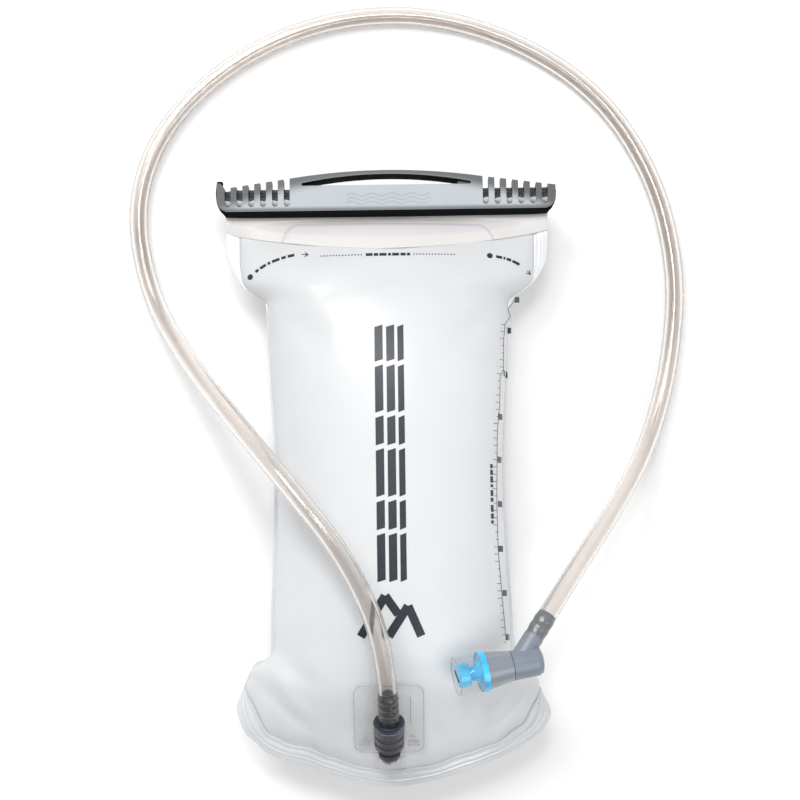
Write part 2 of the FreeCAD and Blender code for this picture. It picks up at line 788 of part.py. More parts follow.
# up off the port, over the bag's left side, down to the ground, round the slider, back up to the elbow
ROUTE = [
    tube_start,
    tube_start + PORT_AXIS * FIRST_RUN,
    Vector(-20, -44, 90.5),
    Vector(-48, -8, 86),
    Vector(-76, 26, 60),
    Vector(-104, 62, 27),
    Vector(-125.5, 100, 4.8),
    Vector(-133, 147, 4.8),
    Vector(-117, 190, 4.8),
    Vector(-78, 225, 4.8),
    Vector(-31, 244.5, 4.8),
    Vector(20, 247.5, 4.8),
    Vector(70, 232.5, 4.8),
    Vector(113.5, 202.5, 4.8),
    Vector(141, 158, 4.8),
    Vector(151.5, 108, 4.8),
    Vector(147.5, 62, 4.8),
    Vector(136, 21, 8),
    Vector(117.5, -12, 27),
    tube_end + STEM_AXIS * LAST_RUN,
    tube_end,
]


def rounded_path(points):
    """Straight runs joined by tangent arcs, each as large as its two runs allow."""
    edges = []
    start = points[0]
    for before, corner, after in zip(points[:-2], points[1:-1], points[2:]):
        back = before - corner
        ahead = after - corner
        reach = ARC_SHARE * min(back.Length, ahead.Length)
        back.normalize()
        ahead.normalize()
        half_turn = (math.pi - back.getAngle(ahead)) / 2
        radius = reach / math.tan(half_turn)
        inward = (back + ahead).normalize()
        arc_start = corner + back * reach
        arc_end = corner + ahead * reach
        arc_middle = corner + inward * (radius / math.cos(half_turn) - radius)
        edges.append(Part.LineSegment(start, arc_start).toShape())
        edges.append(Part.Arc(arc_start, arc_middle, arc_end).toShape())
        print("tube bend: turn %.1f degrees, radius %.1f mm" % (math.degrees(2 * half_turn), radius))
        start = arc_end
    edges.append(Part.LineSegment(start, points[-1]).toShape())
    return Part.Wire(edges)


tube_path = rounded_path(ROUTE)
tube_solids = []
for diameter in (size("tube_outside"), size("tube_inside")):
    section = Part.Wire(Part.makeCircle(diameter / 2, tube_start, PORT_AXIS))
    tube_solids.append(tube_path.makePipeShell([section], True, False))
tube_shape = tube_solids[0].cut(tube_solids[1])
tube_area = math.pi / 4 * (size("tube_outside") ** 2 - size("tube_inside") ** 2)
print("tube length %.1f mm, volume %.0f, section times length %.0f"
      % (tube_path.Length, tube_shape.Volume, tube_area * tube_path.Length))
if abs(tube_shape.Volume / (tube_area * tube_path.Length) - 1.0) > 0.01:
    raise RuntimeError("the tube's volume is wrong")
shaped_part("drink_tube", tube_shape)

# ---------------------------------------------------------------- elbow, in the stem and valve frames

elbow_main = turned_body("elbow_main", [
    ("0", "Size.elbow_back"),
    ("Size.elbow_radius - 2.6", "Size.elbow_back"),
    ("Size.elbow_radius - 0.8", "Size.elbow_back + 0.8"),
    ("Size.elbow_radius", "Size.elbow_back + 2.6"),
    ("Size.elbow_radius", "Size.elbow_front"),
    ("Size.tail_radius", "Size.elbow_front"),
    ("Size.tail_radius", "-Size.tail_depth"),
    ("0", "-Size.tail_depth"),
])
elbow_main.Placement = VALVE
neck_top = size("neck_length") - size("neck_gap")
stem_outline = barb("Size.stem_core", "Size.stem_ridge", neck_top, size("stem_barb"), 3)
elbow_neck = turned_body(
    "elbow_neck",
    [("0", "Size.neck_start"), ("Size.neck_radius", "Size.neck_start"),
     ("Size.neck_radius", "Size.neck_length - Size.neck_gap")]
    + stem_outline
    + [("0", stem_outline[-1][1])])
elbow_neck.Placement = STEM
elbow_solid = joined("elbow_solid", [elbow_main, elbow_neck])
elbow_cavity = cylinder("elbow_cavity", "Size.tail_radius", "Size.tail_depth + Size.elbow_front",
                        at(VALVE, 0, 0, -size("tail_depth")))
elbow_bore = cylinder("elbow_bore", "Size.core_bore", "Size.neck_length + Size.stem_barb + 5", STEM)
elbow_hollow = joined("elbow_hollow", [elbow_cavity, elbow_bore])
keep(cut_from("elbow_body", elbow_solid, elbow_hollow))

# ---------------------------------------------------------------- bite valve, in the valve frame

CORE_RINGS = ("5.6", "11.2")
core_shoulder = "Size.elbow_front + 0.05"
core_outline = [
    ("Size.core_bore", "-Size.tail_depth + 0.1"),
    ("Size.tail_radius", "-Size.tail_depth + 0.1"),
    ("Size.tail_radius", core_shoulder),
    ("Size.core_radius", core_shoulder),
]
for level in CORE_RINGS:
    core_outline += groove("Size.core_radius", "Size.core_groove", level, "1.3")
core_outline += [("Size.core_radius", "Size.core_front"), ("Size.core_bore", "Size.core_front")]
keep(turned_body("valve_core", core_outline), VALVE)
keep(ring_group("core_o_rings", "Size.core_radius - Size.core_groove + Size.core_ring", "Size.core_ring",
                VALVE, CORE_RINGS))
keep(turned_body("shutoff_barrel", [
    ("Size.barrel_bore", "Size.barrel_back"),
    ("Size.barrel_small", "Size.barrel_back"),
    ("Size.barrel_large", "Size.barrel_front"),
    ("Size.barrel_bore", "Size.barrel_front"),
]), VALVE)
valve_blank = turned_body("bite_valve_blank", [
    ("Size.valve_bore", "Size.valve_back"),
    ("Size.valve_ring", "Size.valve_back"),
    ("Size.valve_ring", "Size.valve_front"),
    ("Size.valve_neck + 3", "Size.valve_front"),
    ("Size.valve_neck", "Size.valve_front + 1.7"),
    ("Size.valve_neck", "Size.tip_back"),
    ("Size.tip_radius - 0.6", "Size.tip_back"),
    ("Size.tip_radius", "Size.tip_back + 0.6"),
    ("Size.tip_radius", "Size.tip_front - 0.8"),
    ("Size.tip_radius - 0.8", "Size.tip_front"),
    ("0", "Size.tip_front"),
    ("0", "Size.tip_front - 1"),
    ("Size.valve_bore", "Size.tip_front - 1"),
])
valve_blank.Placement = VALVE
slit = box("valve_slit", ("Size.slit_length", "Size.slit_width", "2"),
           at(VALVE, -size("slit_length") / 2, -size("slit_width") / 2, size("tip_front") - 1.2))
keep(cut_from("bite_valve", valve_blank, slit))
shield_inside = "Size.shield_radius - Size.shield_wall"
keep(turned_body("valve_shield", [
    (shield_inside, "Size.shield_back"),
    ("Size.shield_radius", "Size.shield_back"),
    ("Size.shield_radius", "Size.shield_front"),
    (shield_inside + " - 0.5", "Size.shield_front"),
    (shield_inside + " - 0.5", "Size.shield_front - 0.8"),
    (shield_inside, "Size.shield_front - 0.8"),
]), VALVE)

# ---------------------------------------------------------------- check and write

doc.recompute()
for item in doc.Objects:
    if "Invalid" in item.State or "Error" in item.State:
        raise RuntimeError("%s failed: %s" % (item.Label, item.State))
os.makedirs("parts", exist_ok=True)
for label, piece in PARTS.items():
    shape = piece.Shape
    if shape.isNull() or not shape.isValid() or not shape.Solids:
        raise RuntimeError(label + " has no valid solid")
    shape.exportStep("parts/%s.step" % label)
    limits = shape.optimalBoundingBox()
    print("%-18s %d solid, %9.1f mm3, X %.1f %.1f, Y %.1f %.1f, Z %.1f %.1f"
          % (label, len(shape.Solids), shape.Volume, limits.XMin, limits.XMax, limits.YMin, limits.YMax,
             limits.ZMin, limits.ZMax))
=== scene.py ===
import math

import bmesh
import bpy
from mathutils import Matrix, Vector
from mathutils.bvhtree import BVHTree


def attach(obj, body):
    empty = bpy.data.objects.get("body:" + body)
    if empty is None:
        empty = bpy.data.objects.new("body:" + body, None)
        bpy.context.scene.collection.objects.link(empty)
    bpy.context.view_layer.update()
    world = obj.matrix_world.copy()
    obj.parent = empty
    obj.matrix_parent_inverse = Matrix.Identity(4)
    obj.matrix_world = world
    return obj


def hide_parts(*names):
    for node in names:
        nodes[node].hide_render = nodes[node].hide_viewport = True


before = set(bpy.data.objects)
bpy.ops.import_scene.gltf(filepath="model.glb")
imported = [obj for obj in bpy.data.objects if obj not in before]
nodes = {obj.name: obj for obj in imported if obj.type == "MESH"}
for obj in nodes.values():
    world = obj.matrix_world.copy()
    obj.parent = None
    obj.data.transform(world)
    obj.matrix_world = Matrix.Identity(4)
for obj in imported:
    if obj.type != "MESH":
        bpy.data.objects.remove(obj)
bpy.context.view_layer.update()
scene = bpy.context.scene
MM = 0.001

# ---------------------------------------------------------------- camera

camera = bpy.data.objects.new("camera", bpy.data.cameras.new("camera"))
scene.collection.objects.link(camera)
scene.camera = camera
eye = Vector((0.00412, -0.06309, 0.99452))
forward = (Vector((0.00558, 0.04143, 0.0)) - eye).normalized()
right = Vector((0.9999, -0.01396, 0.0))
right = (right - forward * right.dot(forward)).normalized()
up = right.cross(forward)
turn = Matrix((right, up, -forward)).transposed().to_4x4()
camera.matrix_world = Matrix.Translation(eye) @ turn
camera.data.sensor_width = 36.0
camera.data.lens = 86.04
camera.data.clip_start = 0.05
camera.data.clip_end = 20.0


# ---------------------------------------------------------------- materials

def shader(name, color, rough, vary=0.05, vary_scale=45.0, grain=0.15, grain_scale=2200.0,
           grain_depth=0.05, rough_vary=0.06, wave=0.0, wave_scale=90.0, painted_shade_fades=(), **constants):
    """A principled material with mottled colour, uneven gloss and fine surface relief.

    Each fade (axis, start, end, share, bow) is painted shade: it multiplies the colour by 1 at start and by
    share at end, both in millimetres along the axis. bow bends its lines with the square of x.
    """
    made = bpy.data.materials.new(name)
    made.use_nodes = True
    tree = made.node_tree
    shade = tree.nodes["Principled BSDF"]
    place = tree.nodes.new("ShaderNodeTexCoord")
    mottle = tree.nodes.new("ShaderNodeTexNoise")
    mottle.inputs["Scale"].default_value = vary_scale
    mottle.inputs["Detail"].default_value = 5.0
    tree.links.new(place.outputs["Object"], mottle.inputs["Vector"])
    ramp = tree.nodes.new("ShaderNodeValToRGB")
    ramp.color_ramp.elements[0].position = 0.3
    ramp.color_ramp.elements[1].position = 0.7
    ramp.color_ramp.elements[0].color = [max(c * (1.0 - vary), 0.0) for c in color] + [1.0]
    ramp.color_ramp.elements[1].color = [min(c * (1.0 + vary), 1.0) for c in color] + [1.0]
    tree.links.new(mottle.outputs["Fac"], ramp.inputs["Fac"])
    tree.links.new(ramp.outputs["Color"], shade.inputs["Base Color"])
    gloss = tree.nodes.new("ShaderNodeMapRange")
    gloss.inputs["To Min"].default_value = max(rough - rough_vary, 0.02)
    gloss.inputs["To Max"].default_value = min(rough + rough_vary, 1.0)
    tree.links.new(mottle.outputs["Fac"], gloss.inputs["Value"])
    tree.links.new(gloss.outputs["Result"], shade.inputs["Roughness"])
    fine = tree.nodes.new("ShaderNodeTexNoise")
    fine.inputs["Scale"].default_value = grain_scale
    fine.inputs["Detail"].default_value = 3.0
    tree.links.new(place.outputs["Object"], fine.inputs["Vector"])
    relief = tree.nodes.new("ShaderNodeBump")
    relief.inputs["Strength"].default_value = grain
    relief.inputs["Distance"].default_value = grain_depth * MM
    tree.links.new(fine.outputs["Fac"], relief.inputs["Height"])
    last = relief
    if wave:
        slow = tree.nodes.new("ShaderNodeTexNoise")
        slow.inputs["Scale"].default_value = wave_scale
        slow.inputs["Detail"].default_value = 2.0
        tree.links.new(place.outputs["Object"], slow.inputs["Vector"])
        swell = tree.nodes.new("ShaderNodeBump")
        swell.inputs["Strength"].default_value = 0.6
        swell.inputs["Distance"].default_value = wave * MM
        tree.links.new(slow.outputs["Fac"], swell.inputs["Height"])
        tree.links.new(relief.outputs["Normal"], swell.inputs["Normal"])
        last = swell
    tree.links.new(last.outputs["Normal"], shade.inputs["Normal"])
    # painted shade: each fade darkens the colour by place on the object
    for axis, start, end, share, bow in painted_shade_fades:
        parts = tree.nodes.new("ShaderNodeSeparateXYZ")
        tree.links.new(place.outputs["Object"], parts.inputs["Vector"])
        square = tree.nodes.new("ShaderNodeMath")
        square.operation = "MULTIPLY"
        tree.links.new(parts.outputs["X"], square.inputs[0])
        tree.links.new(parts.outputs["X"], square.inputs[1])
        bowed = tree.nodes.new("ShaderNodeMath")
        bowed.operation = "MULTIPLY_ADD"
        bowed.inputs[1].default_value = bow / MM
        tree.links.new(square.outputs["Value"], bowed.inputs[0])
        tree.links.new(parts.outputs[axis], bowed.inputs[2])
        fade = tree.nodes.new("ShaderNodeMapRange")
        fade.interpolation_type = "SMOOTHSTEP"
        fade.inputs["From Min"].default_value = min(start, end) * MM
        fade.inputs["From Max"].default_value = max(start, end) * MM
        fade.inputs["To Min"].default_value = 1.0 if start < end else share
        fade.inputs["To Max"].default_value = share if start < end else 1.0
        tree.links.new(bowed.outputs["Value"], fade.inputs["Value"])
        darker = tree.nodes.new("ShaderNodeVectorMath")
        darker.operation = "SCALE"
        tree.links.new(shade.inputs["Base Color"].links[0].from_socket, darker.inputs[0])
        tree.links.new(fade.outputs["Result"], darker.inputs["Scale"])
        tree.links.new(darker.outputs["Vector"], shade.inputs["Base Color"])
    for socket, value in constants.items():
        shade.inputs[socket.replace("_", " ")].default_value = value
    return made


# the film's fades darken it towards the bag's bottom and towards the mouth: painted shade
FILM = shader("frosted_film", (0.785, 0.80, 0.815), 0.34,
              painted_shade_fades=(("Y", -88.0, -140.0, 0.90, 0.0), ("Y", 40.0, 112.0, 0.92, 0.0)),
              vary=0.02, vary_scale=28.0, grain=0.2, grain_scale=1500.0, wave=0.5, wave_scale=60.0,
              Alpha=0.80, Coat_Weight=0.3, Coat_Roughness=0.22, IOR=1.48)
# the weld's fade darkens it towards the bag's bottom edge: painted shade
WELD = shader("welded_film", (0.76, 0.775, 0.805), 0.24, painted_shade_fades=(("Y", -105.0, -140.0, 0.81, 0.0),),
              vary=0.03, grain=0.2, grain_scale=1200.0, wave=0.3, Alpha=0.74, Coat_Weight=0.5,
              Coat_Roughness=0.12, IOR=1.48)
BAND = shader("mouth_band", (0.665, 0.645, 0.635), 0.48, vary=0.02, grain=0.3, grain_scale=2600.0,
              wave=0.3, wave_scale=50.0, Subsurface_Weight=0.1, Subsurface_Scale=0.002)
# greyer than the band: painted shade along the step of the embossed line on the flap
EMBOSS_PAINTED_SHADE = shader("band_emboss_painted_shade", (0.575, 0.565, 0.60), 0.36, vary=0.02, grain=0.3, grain_scale=2600.0,
              Coat_Weight=0.3, Coat_Roughness=0.2)
# the fades darken the slider's top and fin tops, its recesses and its foot: painted shade
GREY = shader("slider_grey", (0.375, 0.405, 0.43), 0.42,
              painted_shade_fades=(("Y", 147.6, 154.6, 0.17, 0.0023), ("Z", 37.5, 33.5, 0.15, 0.0),
                     ("Y", 137.0, 134.8, 0.30, 0.0)),
              vary=0.05, grain=0.3, grain_scale=4200.0, grain_depth=0.03, Coat_Weight=0.12,
              Coat_Roughness=0.3, Specular_IOR_Level=0.35)
# near-black painted shade for the slider's downward faces, the inside of its handle opening and the strip
# under its front
SHADE = shader("slider_painted_shade", (0.005, 0.0055, 0.0065), 0.7, vary=0.1, grain=0.3, grain_scale=4200.0,
               Specular_IOR_Level=0.04)
# near-black painted shade for the fold where it wraps round the rail inside the slider's channel
FOLD_PAINTED_SHADE = shader("fold_in_slider_painted_shade", (0.035, 0.042, 0.05), 0.5, vary=0.1, grain=0.2, Specular_IOR_Level=0.3)
CLEAR = shader("clear_plastic", (0.72, 0.72, 0.73), 0.09, vary=0.01, grain=0.05, grain_scale=900.0,
               Alpha=0.08, Coat_Weight=0.35, Coat_Roughness=0.05, IOR=1.5)
SOCKET = shader("clear_socket", (0.33, 0.29, 0.27), 0.07, vary=0.01, grain=0.05, grain_scale=900.0,
                Alpha=0.045, Specular_IOR_Level=0.1, IOR=1.3)
# grey, half-opaque beads that draw the edges and ribs of clear parts: painted shade along those edges
EDGE_PAINTED_SHADE = shader("clear_outline_painted_shade", (0.42, 0.43, 0.45), 0.12, vary=0.02, grain=0.05, grain_scale=900.0,
             Alpha=0.5, Coat_Weight=1.0, Coat_Roughness=0.05)
SHIELD = shader("clear_shield", (0.42, 0.43, 0.45), 0.08, vary=0.01, grain=0.05, grain_scale=900.0,
                Alpha=0.05, Coat_Weight=0.3, Coat_Roughness=0.04, IOR=1.5)
# bright, mostly opaque: painted glints, used for the rings round the plug in the socket
GLINT = shader("clear_painted_glint", (0.86, 0.87, 0.89), 0.08, vary=0.01, grain=0.05, grain_scale=900.0,
               Alpha=0.72, Coat_Weight=1.0, Coat_Roughness=0.04)
SMOKE = shader("smoked_barrel", (0.27, 0.30, 0.345), 0.20, vary=0.03, grain=0.1, Alpha=0.80,
               Coat_Weight=0.8, Coat_Roughness=0.08)
# the tube's fade darkens it a little towards the bag's bottom: painted shade
TUBE = shader("drink_tube", (0.955, 0.915, 0.885), 0.11, painted_shade_fades=(("Y", 60.0, -90.0, 0.94, 0.0),),
              vary=0.02, vary_scale=30.0, grain=0.08, grain_scale=1600.0, rough_vary=0.03,
              Transmission_Weight=0.97, IOR=1.5, Coat_Weight=0.15, Coat_Roughness=0.05)
GRIP = shader("elbow_grip", (0.27, 0.305, 0.335), 0.6, vary=0.05, grain=0.1, Specular_IOR_Level=0.3)
BARB = shader("barb_dark", (0.006, 0.008, 0.011), 0.4, vary=0.1, grain=0.2, Specular_IOR_Level=0.2)
PLUG = shader("plug_grey", (0.018, 0.024, 0.042), 0.30, vary=0.12, grain=0.3, grain_scale=3500.0,
              Coat_Weight=0.4, Coat_Roughness=0.15)
ELBOW = shader("elbow_grey", (0.20, 0.232, 0.28), 0.38, vary=0.06, grain=0.35, grain_scale=3800.0,
               grain_depth=0.03, Coat_Weight=0.3, Coat_Roughness=0.25)
# blue silicone whose weak emission is a painted glow of light through it
BLUE_PAINTED_GLOW = shader("valve_blue_painted_glow", (0.05, 0.45, 0.74), 0.18, vary=0.28, vary_scale=160.0, grain=0.15,
              grain_scale=1800.0, Coat_Weight=0.6, Coat_Roughness=0.08, Emission_Color=(0.0, 0.42, 0.70, 1.0),
              Emission_Strength=0.12)
SEAL = shader("seal_rubber", (0.02, 0.02, 0.022), 0.45, vary=0.1, grain=0.2)
STEEL = shader("spring_steel", (0.55, 0.55, 0.57), 0.25, vary=0.05, grain=0.1, Metallic=1.0)
PRINT = shader("print_ink", (0.014, 0.021, 0.030), 0.38, vary=0.15, vary_scale=300.0, grain=0.25,
               grain_scale=2500.0)


# ---------------------------------------------------------------- mesh helpers

# steps between a curve's points, limits for cleaning copies, and the ray that finds a surface from above
SPLINE_STEPS = 16
SAME_POINT = 2e-6
FLAT_ANGLE = math.radians(1.0)
SKY = 0.2
DOWN = Vector((0.0, 0.0, -1.0))


def add_piece(name, mesh, body, material, smooth=True):
    """A piece of the object that rides on a body."""
    piece = bpy.data.objects.new(name, mesh)
    scene.collection.objects.link(piece)
    if material is not None:
        mesh.materials.append(material)
    if smooth:
        mesh.shade_smooth()
    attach(piece, body)
    return piece


def grid_mesh(name, rows, closed=False):
    """A mesh of four-sided faces over rows of points given in millimetres."""
    points = [Vector(p) * MM for row in rows for p in row]
    across = len(rows[0])
    faces = []
    for i in range(len(rows) - 1):
        for j in range(across if closed else across - 1):
            k = (j + 1) % across
            faces.append((i * across + j, i * across + k, (i + 1) * across + k, (i + 1) * across + j))
    mesh = bpy.data.meshes.new(name)
    mesh.from_pydata(points, [], faces)
    mesh.update()
    return mesh


def spline(points, count):
    """Evenly spread points on a smooth curve through the given ones."""
    padded = [2 * Vector(points[0]) - Vector(points[1])] + [Vector(p) for p in points]
    padded.append(2 * padded[-1] - padded[-2])
    dense = []
    for a, b, c, d in zip(padded[:-3], padded[1:-2], padded[2:-1], padded[3:]):
        for step in range(SPLINE_STEPS):
            t = step / SPLINE_STEPS
            dense.append(0.5 * (2 * b + (c - a) * t + (2 * a - 5 * b + 4 * c - d) * t ** 2
                                + (3 * b - a - 3 * c + d) * t ** 3))
    dense.append(Vector(points[-1]))
    return resample(dense, count)


def resample(path, count):
    """The same path with points the same distance apart."""
    lengths = [0.0]
    for start, end in zip(path[:-1], path[1:]):
        lengths.append(lengths[-1] + (end - start).length)
    made = []
    leg = 0
    for step in range(count):
        reach = lengths[-1] * step / (count - 1)
        while leg < len(path) - 2 and lengths[leg + 1] < reach:
            leg += 1
        share = (reach - lengths[leg]) / max(lengths[leg + 1] - lengths[leg], 1e-9)
        made.append(path[leg].lerp(path[leg + 1], min(share, 1.0)))
    return made


def curve_value(table, x):
    """A smooth value from rising (x, value) pairs."""
    if x <= table[0][0]:
        return table[0][1]
    for (x0, y0), (x1, y1) in zip(table[:-1], table[1:]):
        if x <= x1:
            t = (x - x0) / (x1 - x0)
            t = t * t * (3 - 2 * t)
            return y0 + (y1 - y0) * t
    return table[-1][1]


def moulded(name, node, body, material, width=0.35, angle=32.0, segments=2, cutter=None):
    """A copy of a CAD piece with its sharp edges rounded, as a moulding has them."""
    mesh = nodes[node].data.copy()
    mesh.materials.clear()
    work = bmesh.new()
    work.from_mesh(mesh)
    bmesh.ops.remove_doubles(work, verts=work.verts, dist=SAME_POINT)
    bmesh.ops.dissolve_limit(work, angle_limit=FLAT_ANGLE, verts=work.verts, edges=work.edges)
    work.to_mesh(mesh)
    work.free()
    mesh.shade_smooth()
    piece = bpy.data.objects.new(name, mesh)
    scene.collection.objects.link(piece)
    if cutter:
        cut = piece.modifiers.new("cut", "BOOLEAN")
        cut.object = cutter
        cut.solver = "EXACT"
    bevel = piece.modifiers.new("rounding", "BEVEL")
    bevel.width = width * MM
    bevel.segments = segments
    bevel.limit_method = "ANGLE"
    bevel.angle_limit = math.radians(angle)
    bevel.harden_normals = False
    even = piece.modifiers.new("flat_faces", "WEIGHTED_NORMAL")
    even.mode = "FACE_AREA"
    even.keep_sharp = True
    graph = bpy.context.evaluated_depsgraph_get()
    rounded = bpy.data.meshes.new_from_object(piece.evaluated_get(graph))
    piece.modifiers.clear()
    piece.data = rounded
    rounded.materials.clear()
    rounded.materials.append(material)
    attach(piece, body)
    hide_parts(node)
    return piece


def surface_tree(piece):
    """A search tree over a piece's faces, for finding the height of its surface."""
    return BVHTree.FromPolygons([v.co.copy() for v in piece.data.vertices],
                                [tuple(p.vertices) for p in piece.data.polygons])


def surface_height(tree, x, y, fallback):
    """Height of a surface seen from above at a place, in millimetres."""
    hit = tree.ray_cast(Vector((x * MM, y * MM, SKY)), DOWN)
    return hit[0].z / MM if hit[0] is not None else fallback


def finish_node(node, material):
    """A CAD piece kept as it is, with its own material."""
    for place in nodes[node].material_slots:
        place.material = material


# ---------------------------------------------------------------- drink tube

ROUTE = [
    (-0.002, -0.12112, 0.06069), (-0.002, -0.08714, 0.08538), (-0.020, -0.044, 0.0905),
    (-0.048, -0.008, 0.086), (-0.076, 0.026, 0.060), (-0.104, 0.062, 0.027),
    (-0.1255, 0.100, 0.0048), (-0.133, 0.147, 0.0048), (-0.117, 0.190, 0.0048),
    (-0.078, 0.225, 0.0048), (-0.031, 0.2445, 0.0048), (0.020, 0.2475, 0.0048),
    (0.070, 0.2325, 0.0048), (0.1135, 0.2025, 0.0048), (0.141, 0.158, 0.0048),
    (0.1515, 0.108, 0.0048), (0.1475, 0.062, 0.0048), (0.136, 0.021, 0.008),
    (0.1175, -0.012, 0.027), (0.09266, -0.04553, 0.05289), (0.06869, -0.08107, 0.06279),
]
TUBE_OUTSIDE = 0.00475
TUBE_INSIDE = 0.003175
TUBE_SIDES = 40
# barb ridges under the tube, as distances from its ends, and how far and wide they lift it
PLUG_RIDGES = (0.0031, 0.0068, 0.0104, 0.0141)
PLUG_LIFT = 0.00038
PLUG_SPREAD = 0.0012
STEM_RIDGES = (0.0045, 0.0092)
STEM_LIFT = 0.00034
STEM_SPREAD = 0.0016
GRIP_RADIUS = 0.0034
GRIP_SIDES = 32
GRIP_RIDGE = 0.0004
GRIP_SPREAD = 0.0011
GRIP_END = 0.55
route_data = bpy.data.curves.new("tube_line", "CURVE")
route_data.dimensions = "3D"
route_spline = route_data.splines.new("NURBS")
route_spline.points.add(len(ROUTE) - 1)
for point, place in zip(route_spline.points, ROUTE):
    point.co = place + (1.0,)
route_spline.order_u = 3
route_spline.use_endpoint_u = True
route_spline.resolution_u = 20
route_object = bpy.data.objects.new("tube_line", route_data)
tube_line = [v.co.copy() for v in bpy.data.meshes.new_from_object(route_object).vertices]
bpy.data.objects.remove(route_object)


def fine_ends(line, reach, step):
    """The same line with closer points near its ends, where the ridges under the tube are."""
    lengths = [0.0]
    for start, end in zip(line[:-1], line[1:]):
        lengths.append(lengths[-1] + (end - start).length)
    close = int(reach / step)
    places = [step * k for k in range(close)] + [d for d in lengths if reach < d < lengths[-1] - reach]
    places += [lengths[-1] - step * k for k in reversed(range(close))]
    made = []
    leg = 0
    for place in places:
        while leg < len(line) - 2 and lengths[leg + 1] < place:
            leg += 1
        share = (place - lengths[leg]) / (lengths[leg + 1] - lengths[leg])
        made.append(line[leg].lerp(line[leg + 1], share))
    return made, lengths[-1]


tube_line, tube_length = fine_ends(tube_line, reach=0.024, step=0.0005)


def tube_rings(line, radius, sides, swell=None):
    """Circles round a line, each turned as little as possible from the one before it."""
    rings = []
    across = None
    reach = 0.0
    for index, centre in enumerate(line):
        ahead = line[min(index + 1, len(line) - 1)] - line[max(index - 1, 0)]
        ahead.normalize()
        if across is None:
            across = ahead.orthogonal()
        across = (across - ahead * across.dot(ahead)).normalized()
        other = ahead.cross(across)
        if index:
            reach += (centre - line[index - 1]).length
        bulge = swell(reach) if swell else 0.0
        ring = []
        for side in range(sides):
            turn = 2 * math.pi * side / sides
            ring.append(centre + (across * math.cos(turn) + other * math.sin(turn)) * (radius + bulge))
        rings.append(ring)
    return rings


def ridge_swell(reach):
    """How far the tube stands out over the barb ridges inside its ends."""
    lifted = 0.0
    for spot in PLUG_RIDGES:
        lifted += PLUG_LIFT * math.exp(-((reach - spot) / PLUG_SPREAD) ** 2)
    for spot in STEM_RIDGES:
        lifted += STEM_LIFT * math.exp(-((tube_length - reach - spot) / STEM_SPREAD) ** 2)
    return lifted


def tube_mesh(name, line):
    """The hollow tube with flat cut ends."""
    outer = tube_rings(line, TUBE_OUTSIDE, TUBE_SIDES, ridge_swell)
    inner = tube_rings(line, TUBE_INSIDE, TUBE_SIDES)
    loop = [inner[0]] + outer + list(reversed(inner))
    rows = [[tuple(p / MM) for p in ring] for ring in loop]
    return grid_mesh(name, rows, closed=True)


def join_seams(piece):
    """Join points that lie on each other, so the mesh is closed."""
    work = bmesh.new()
    work.from_mesh(piece.data)
    bmesh.ops.remove_doubles(work, verts=work.verts, dist=1e-7)
    work.to_mesh(piece.data)
    work.free()


tube = add_piece("tube", tube_mesh("tube", tube_line), "hose", TUBE)
join_seams(tube)


def grip(name, line, ridges, reach, material):
    """The barb under the tube: a core with ridges, a little wider than the bore so that it shows."""
    part = [line[0]]
    for spot in line[1:]:
        if (spot - line[0]).length > reach:
            break
        part.append(spot)

    def ridged(along):
        return sum(GRIP_RIDGE * math.exp(-((along - r) / GRIP_SPREAD) ** 2) for r in ridges)

    rings = tube_rings(part, GRIP_RADIUS, GRIP_SIDES, ridged)
    tip = [part[-1] + (q - part[-1]) * GRIP_END for q in rings[-1]]
    base = [part[0] + (q - part[0]) * GRIP_END for q in rings[0]]
    rows = [[tuple(q / MM) for q in ring] for ring in [base] + rings + [tip]]
    return add_piece(name, grid_mesh(name, rows, closed=True), "hose", material)


grip("barb_grip_plug", tube_line, PLUG_RIDGES, 0.0178, BARB)
grip("barb_grip_elbow", list(reversed(tube_line)), STEM_RIDGES, 0.0130, GRIP)
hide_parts("drink_tube")

# ---------------------------------------------------------------- bag film

SEAM = 31.2
FLANGE_TOP = 31.9
CROWN = 40.0
BELLY = 31.6
WELD_HALF = 81.0
# y of the middle, y at the side, half width, front height and back depth as shares
STATIONS = [
    (-146.3, -112.0, 0.870, 0.000, 0.000),
    (-139.0, -108.5, 0.895, 0.175, 0.400),
    (-128.0, -104.0, 0.905, 0.350, 0.700),
    (-118.0, -99.5, 0.880, 0.518, 0.890),
    (-108.0, -95.0, 0.860, 0.680, 0.970),
    (-98.0, -91.5, 0.790, 0.815, 1.000),
    (-88.0, -86.0, 0.733, 0.908, 1.000),
    (-70.0, -70.0, 0.730, 0.975, 1.000),
    (-40.0, -40.0, 0.712, 1.000, 1.000),
    (0.0, 0.0, 0.700, 1.000, 1.000),
    (40.0, 40.0, 0.724, 0.993, 1.000),
    (60.0, 60.0, 0.743, 0.955, 1.000),
    (80.0, 80.0, 0.755, 0.863, 0.985),
    (92.0, 89.0, 0.765, 0.758, 0.930),
    (103.0, 97.0, 0.893, 0.618, 0.820),
    (112.0, 105.0, 0.922, 0.465, 0.650),
    (120.0, 114.0, 0.925, 0.300, 0.420),
    (126.0, 121.0, 0.925, 0.150, 0.200),
    (130.0, 130.0, 0.925, 0.000, 0.000),
]
BOTTOM_WELD = [(-70.5, -112.0), (-62.0, -128.0), (-50.6, -133.2), (-42.6, -134.5), (-32.2, -139.2),
               (-16.4, -144.3), (-3.0, -146.6), (17.9, -144.3), (34.9, -138.6), (49.9, -134.0),
               (63.5, -125.3), (70.5, -114.0)]
ALONG = 150
ACROSS = 96
# shape of the film: how its ends bend and its sides curve, and how far up the bottom weld reaches
END_POWER = 2.4
FRONT_POWER = 2.0
BACK_POWER = 4.0
BOTTOM_REACH = 4.5
FLOOR_GAP = 0.15
CREASE_START = 8.0
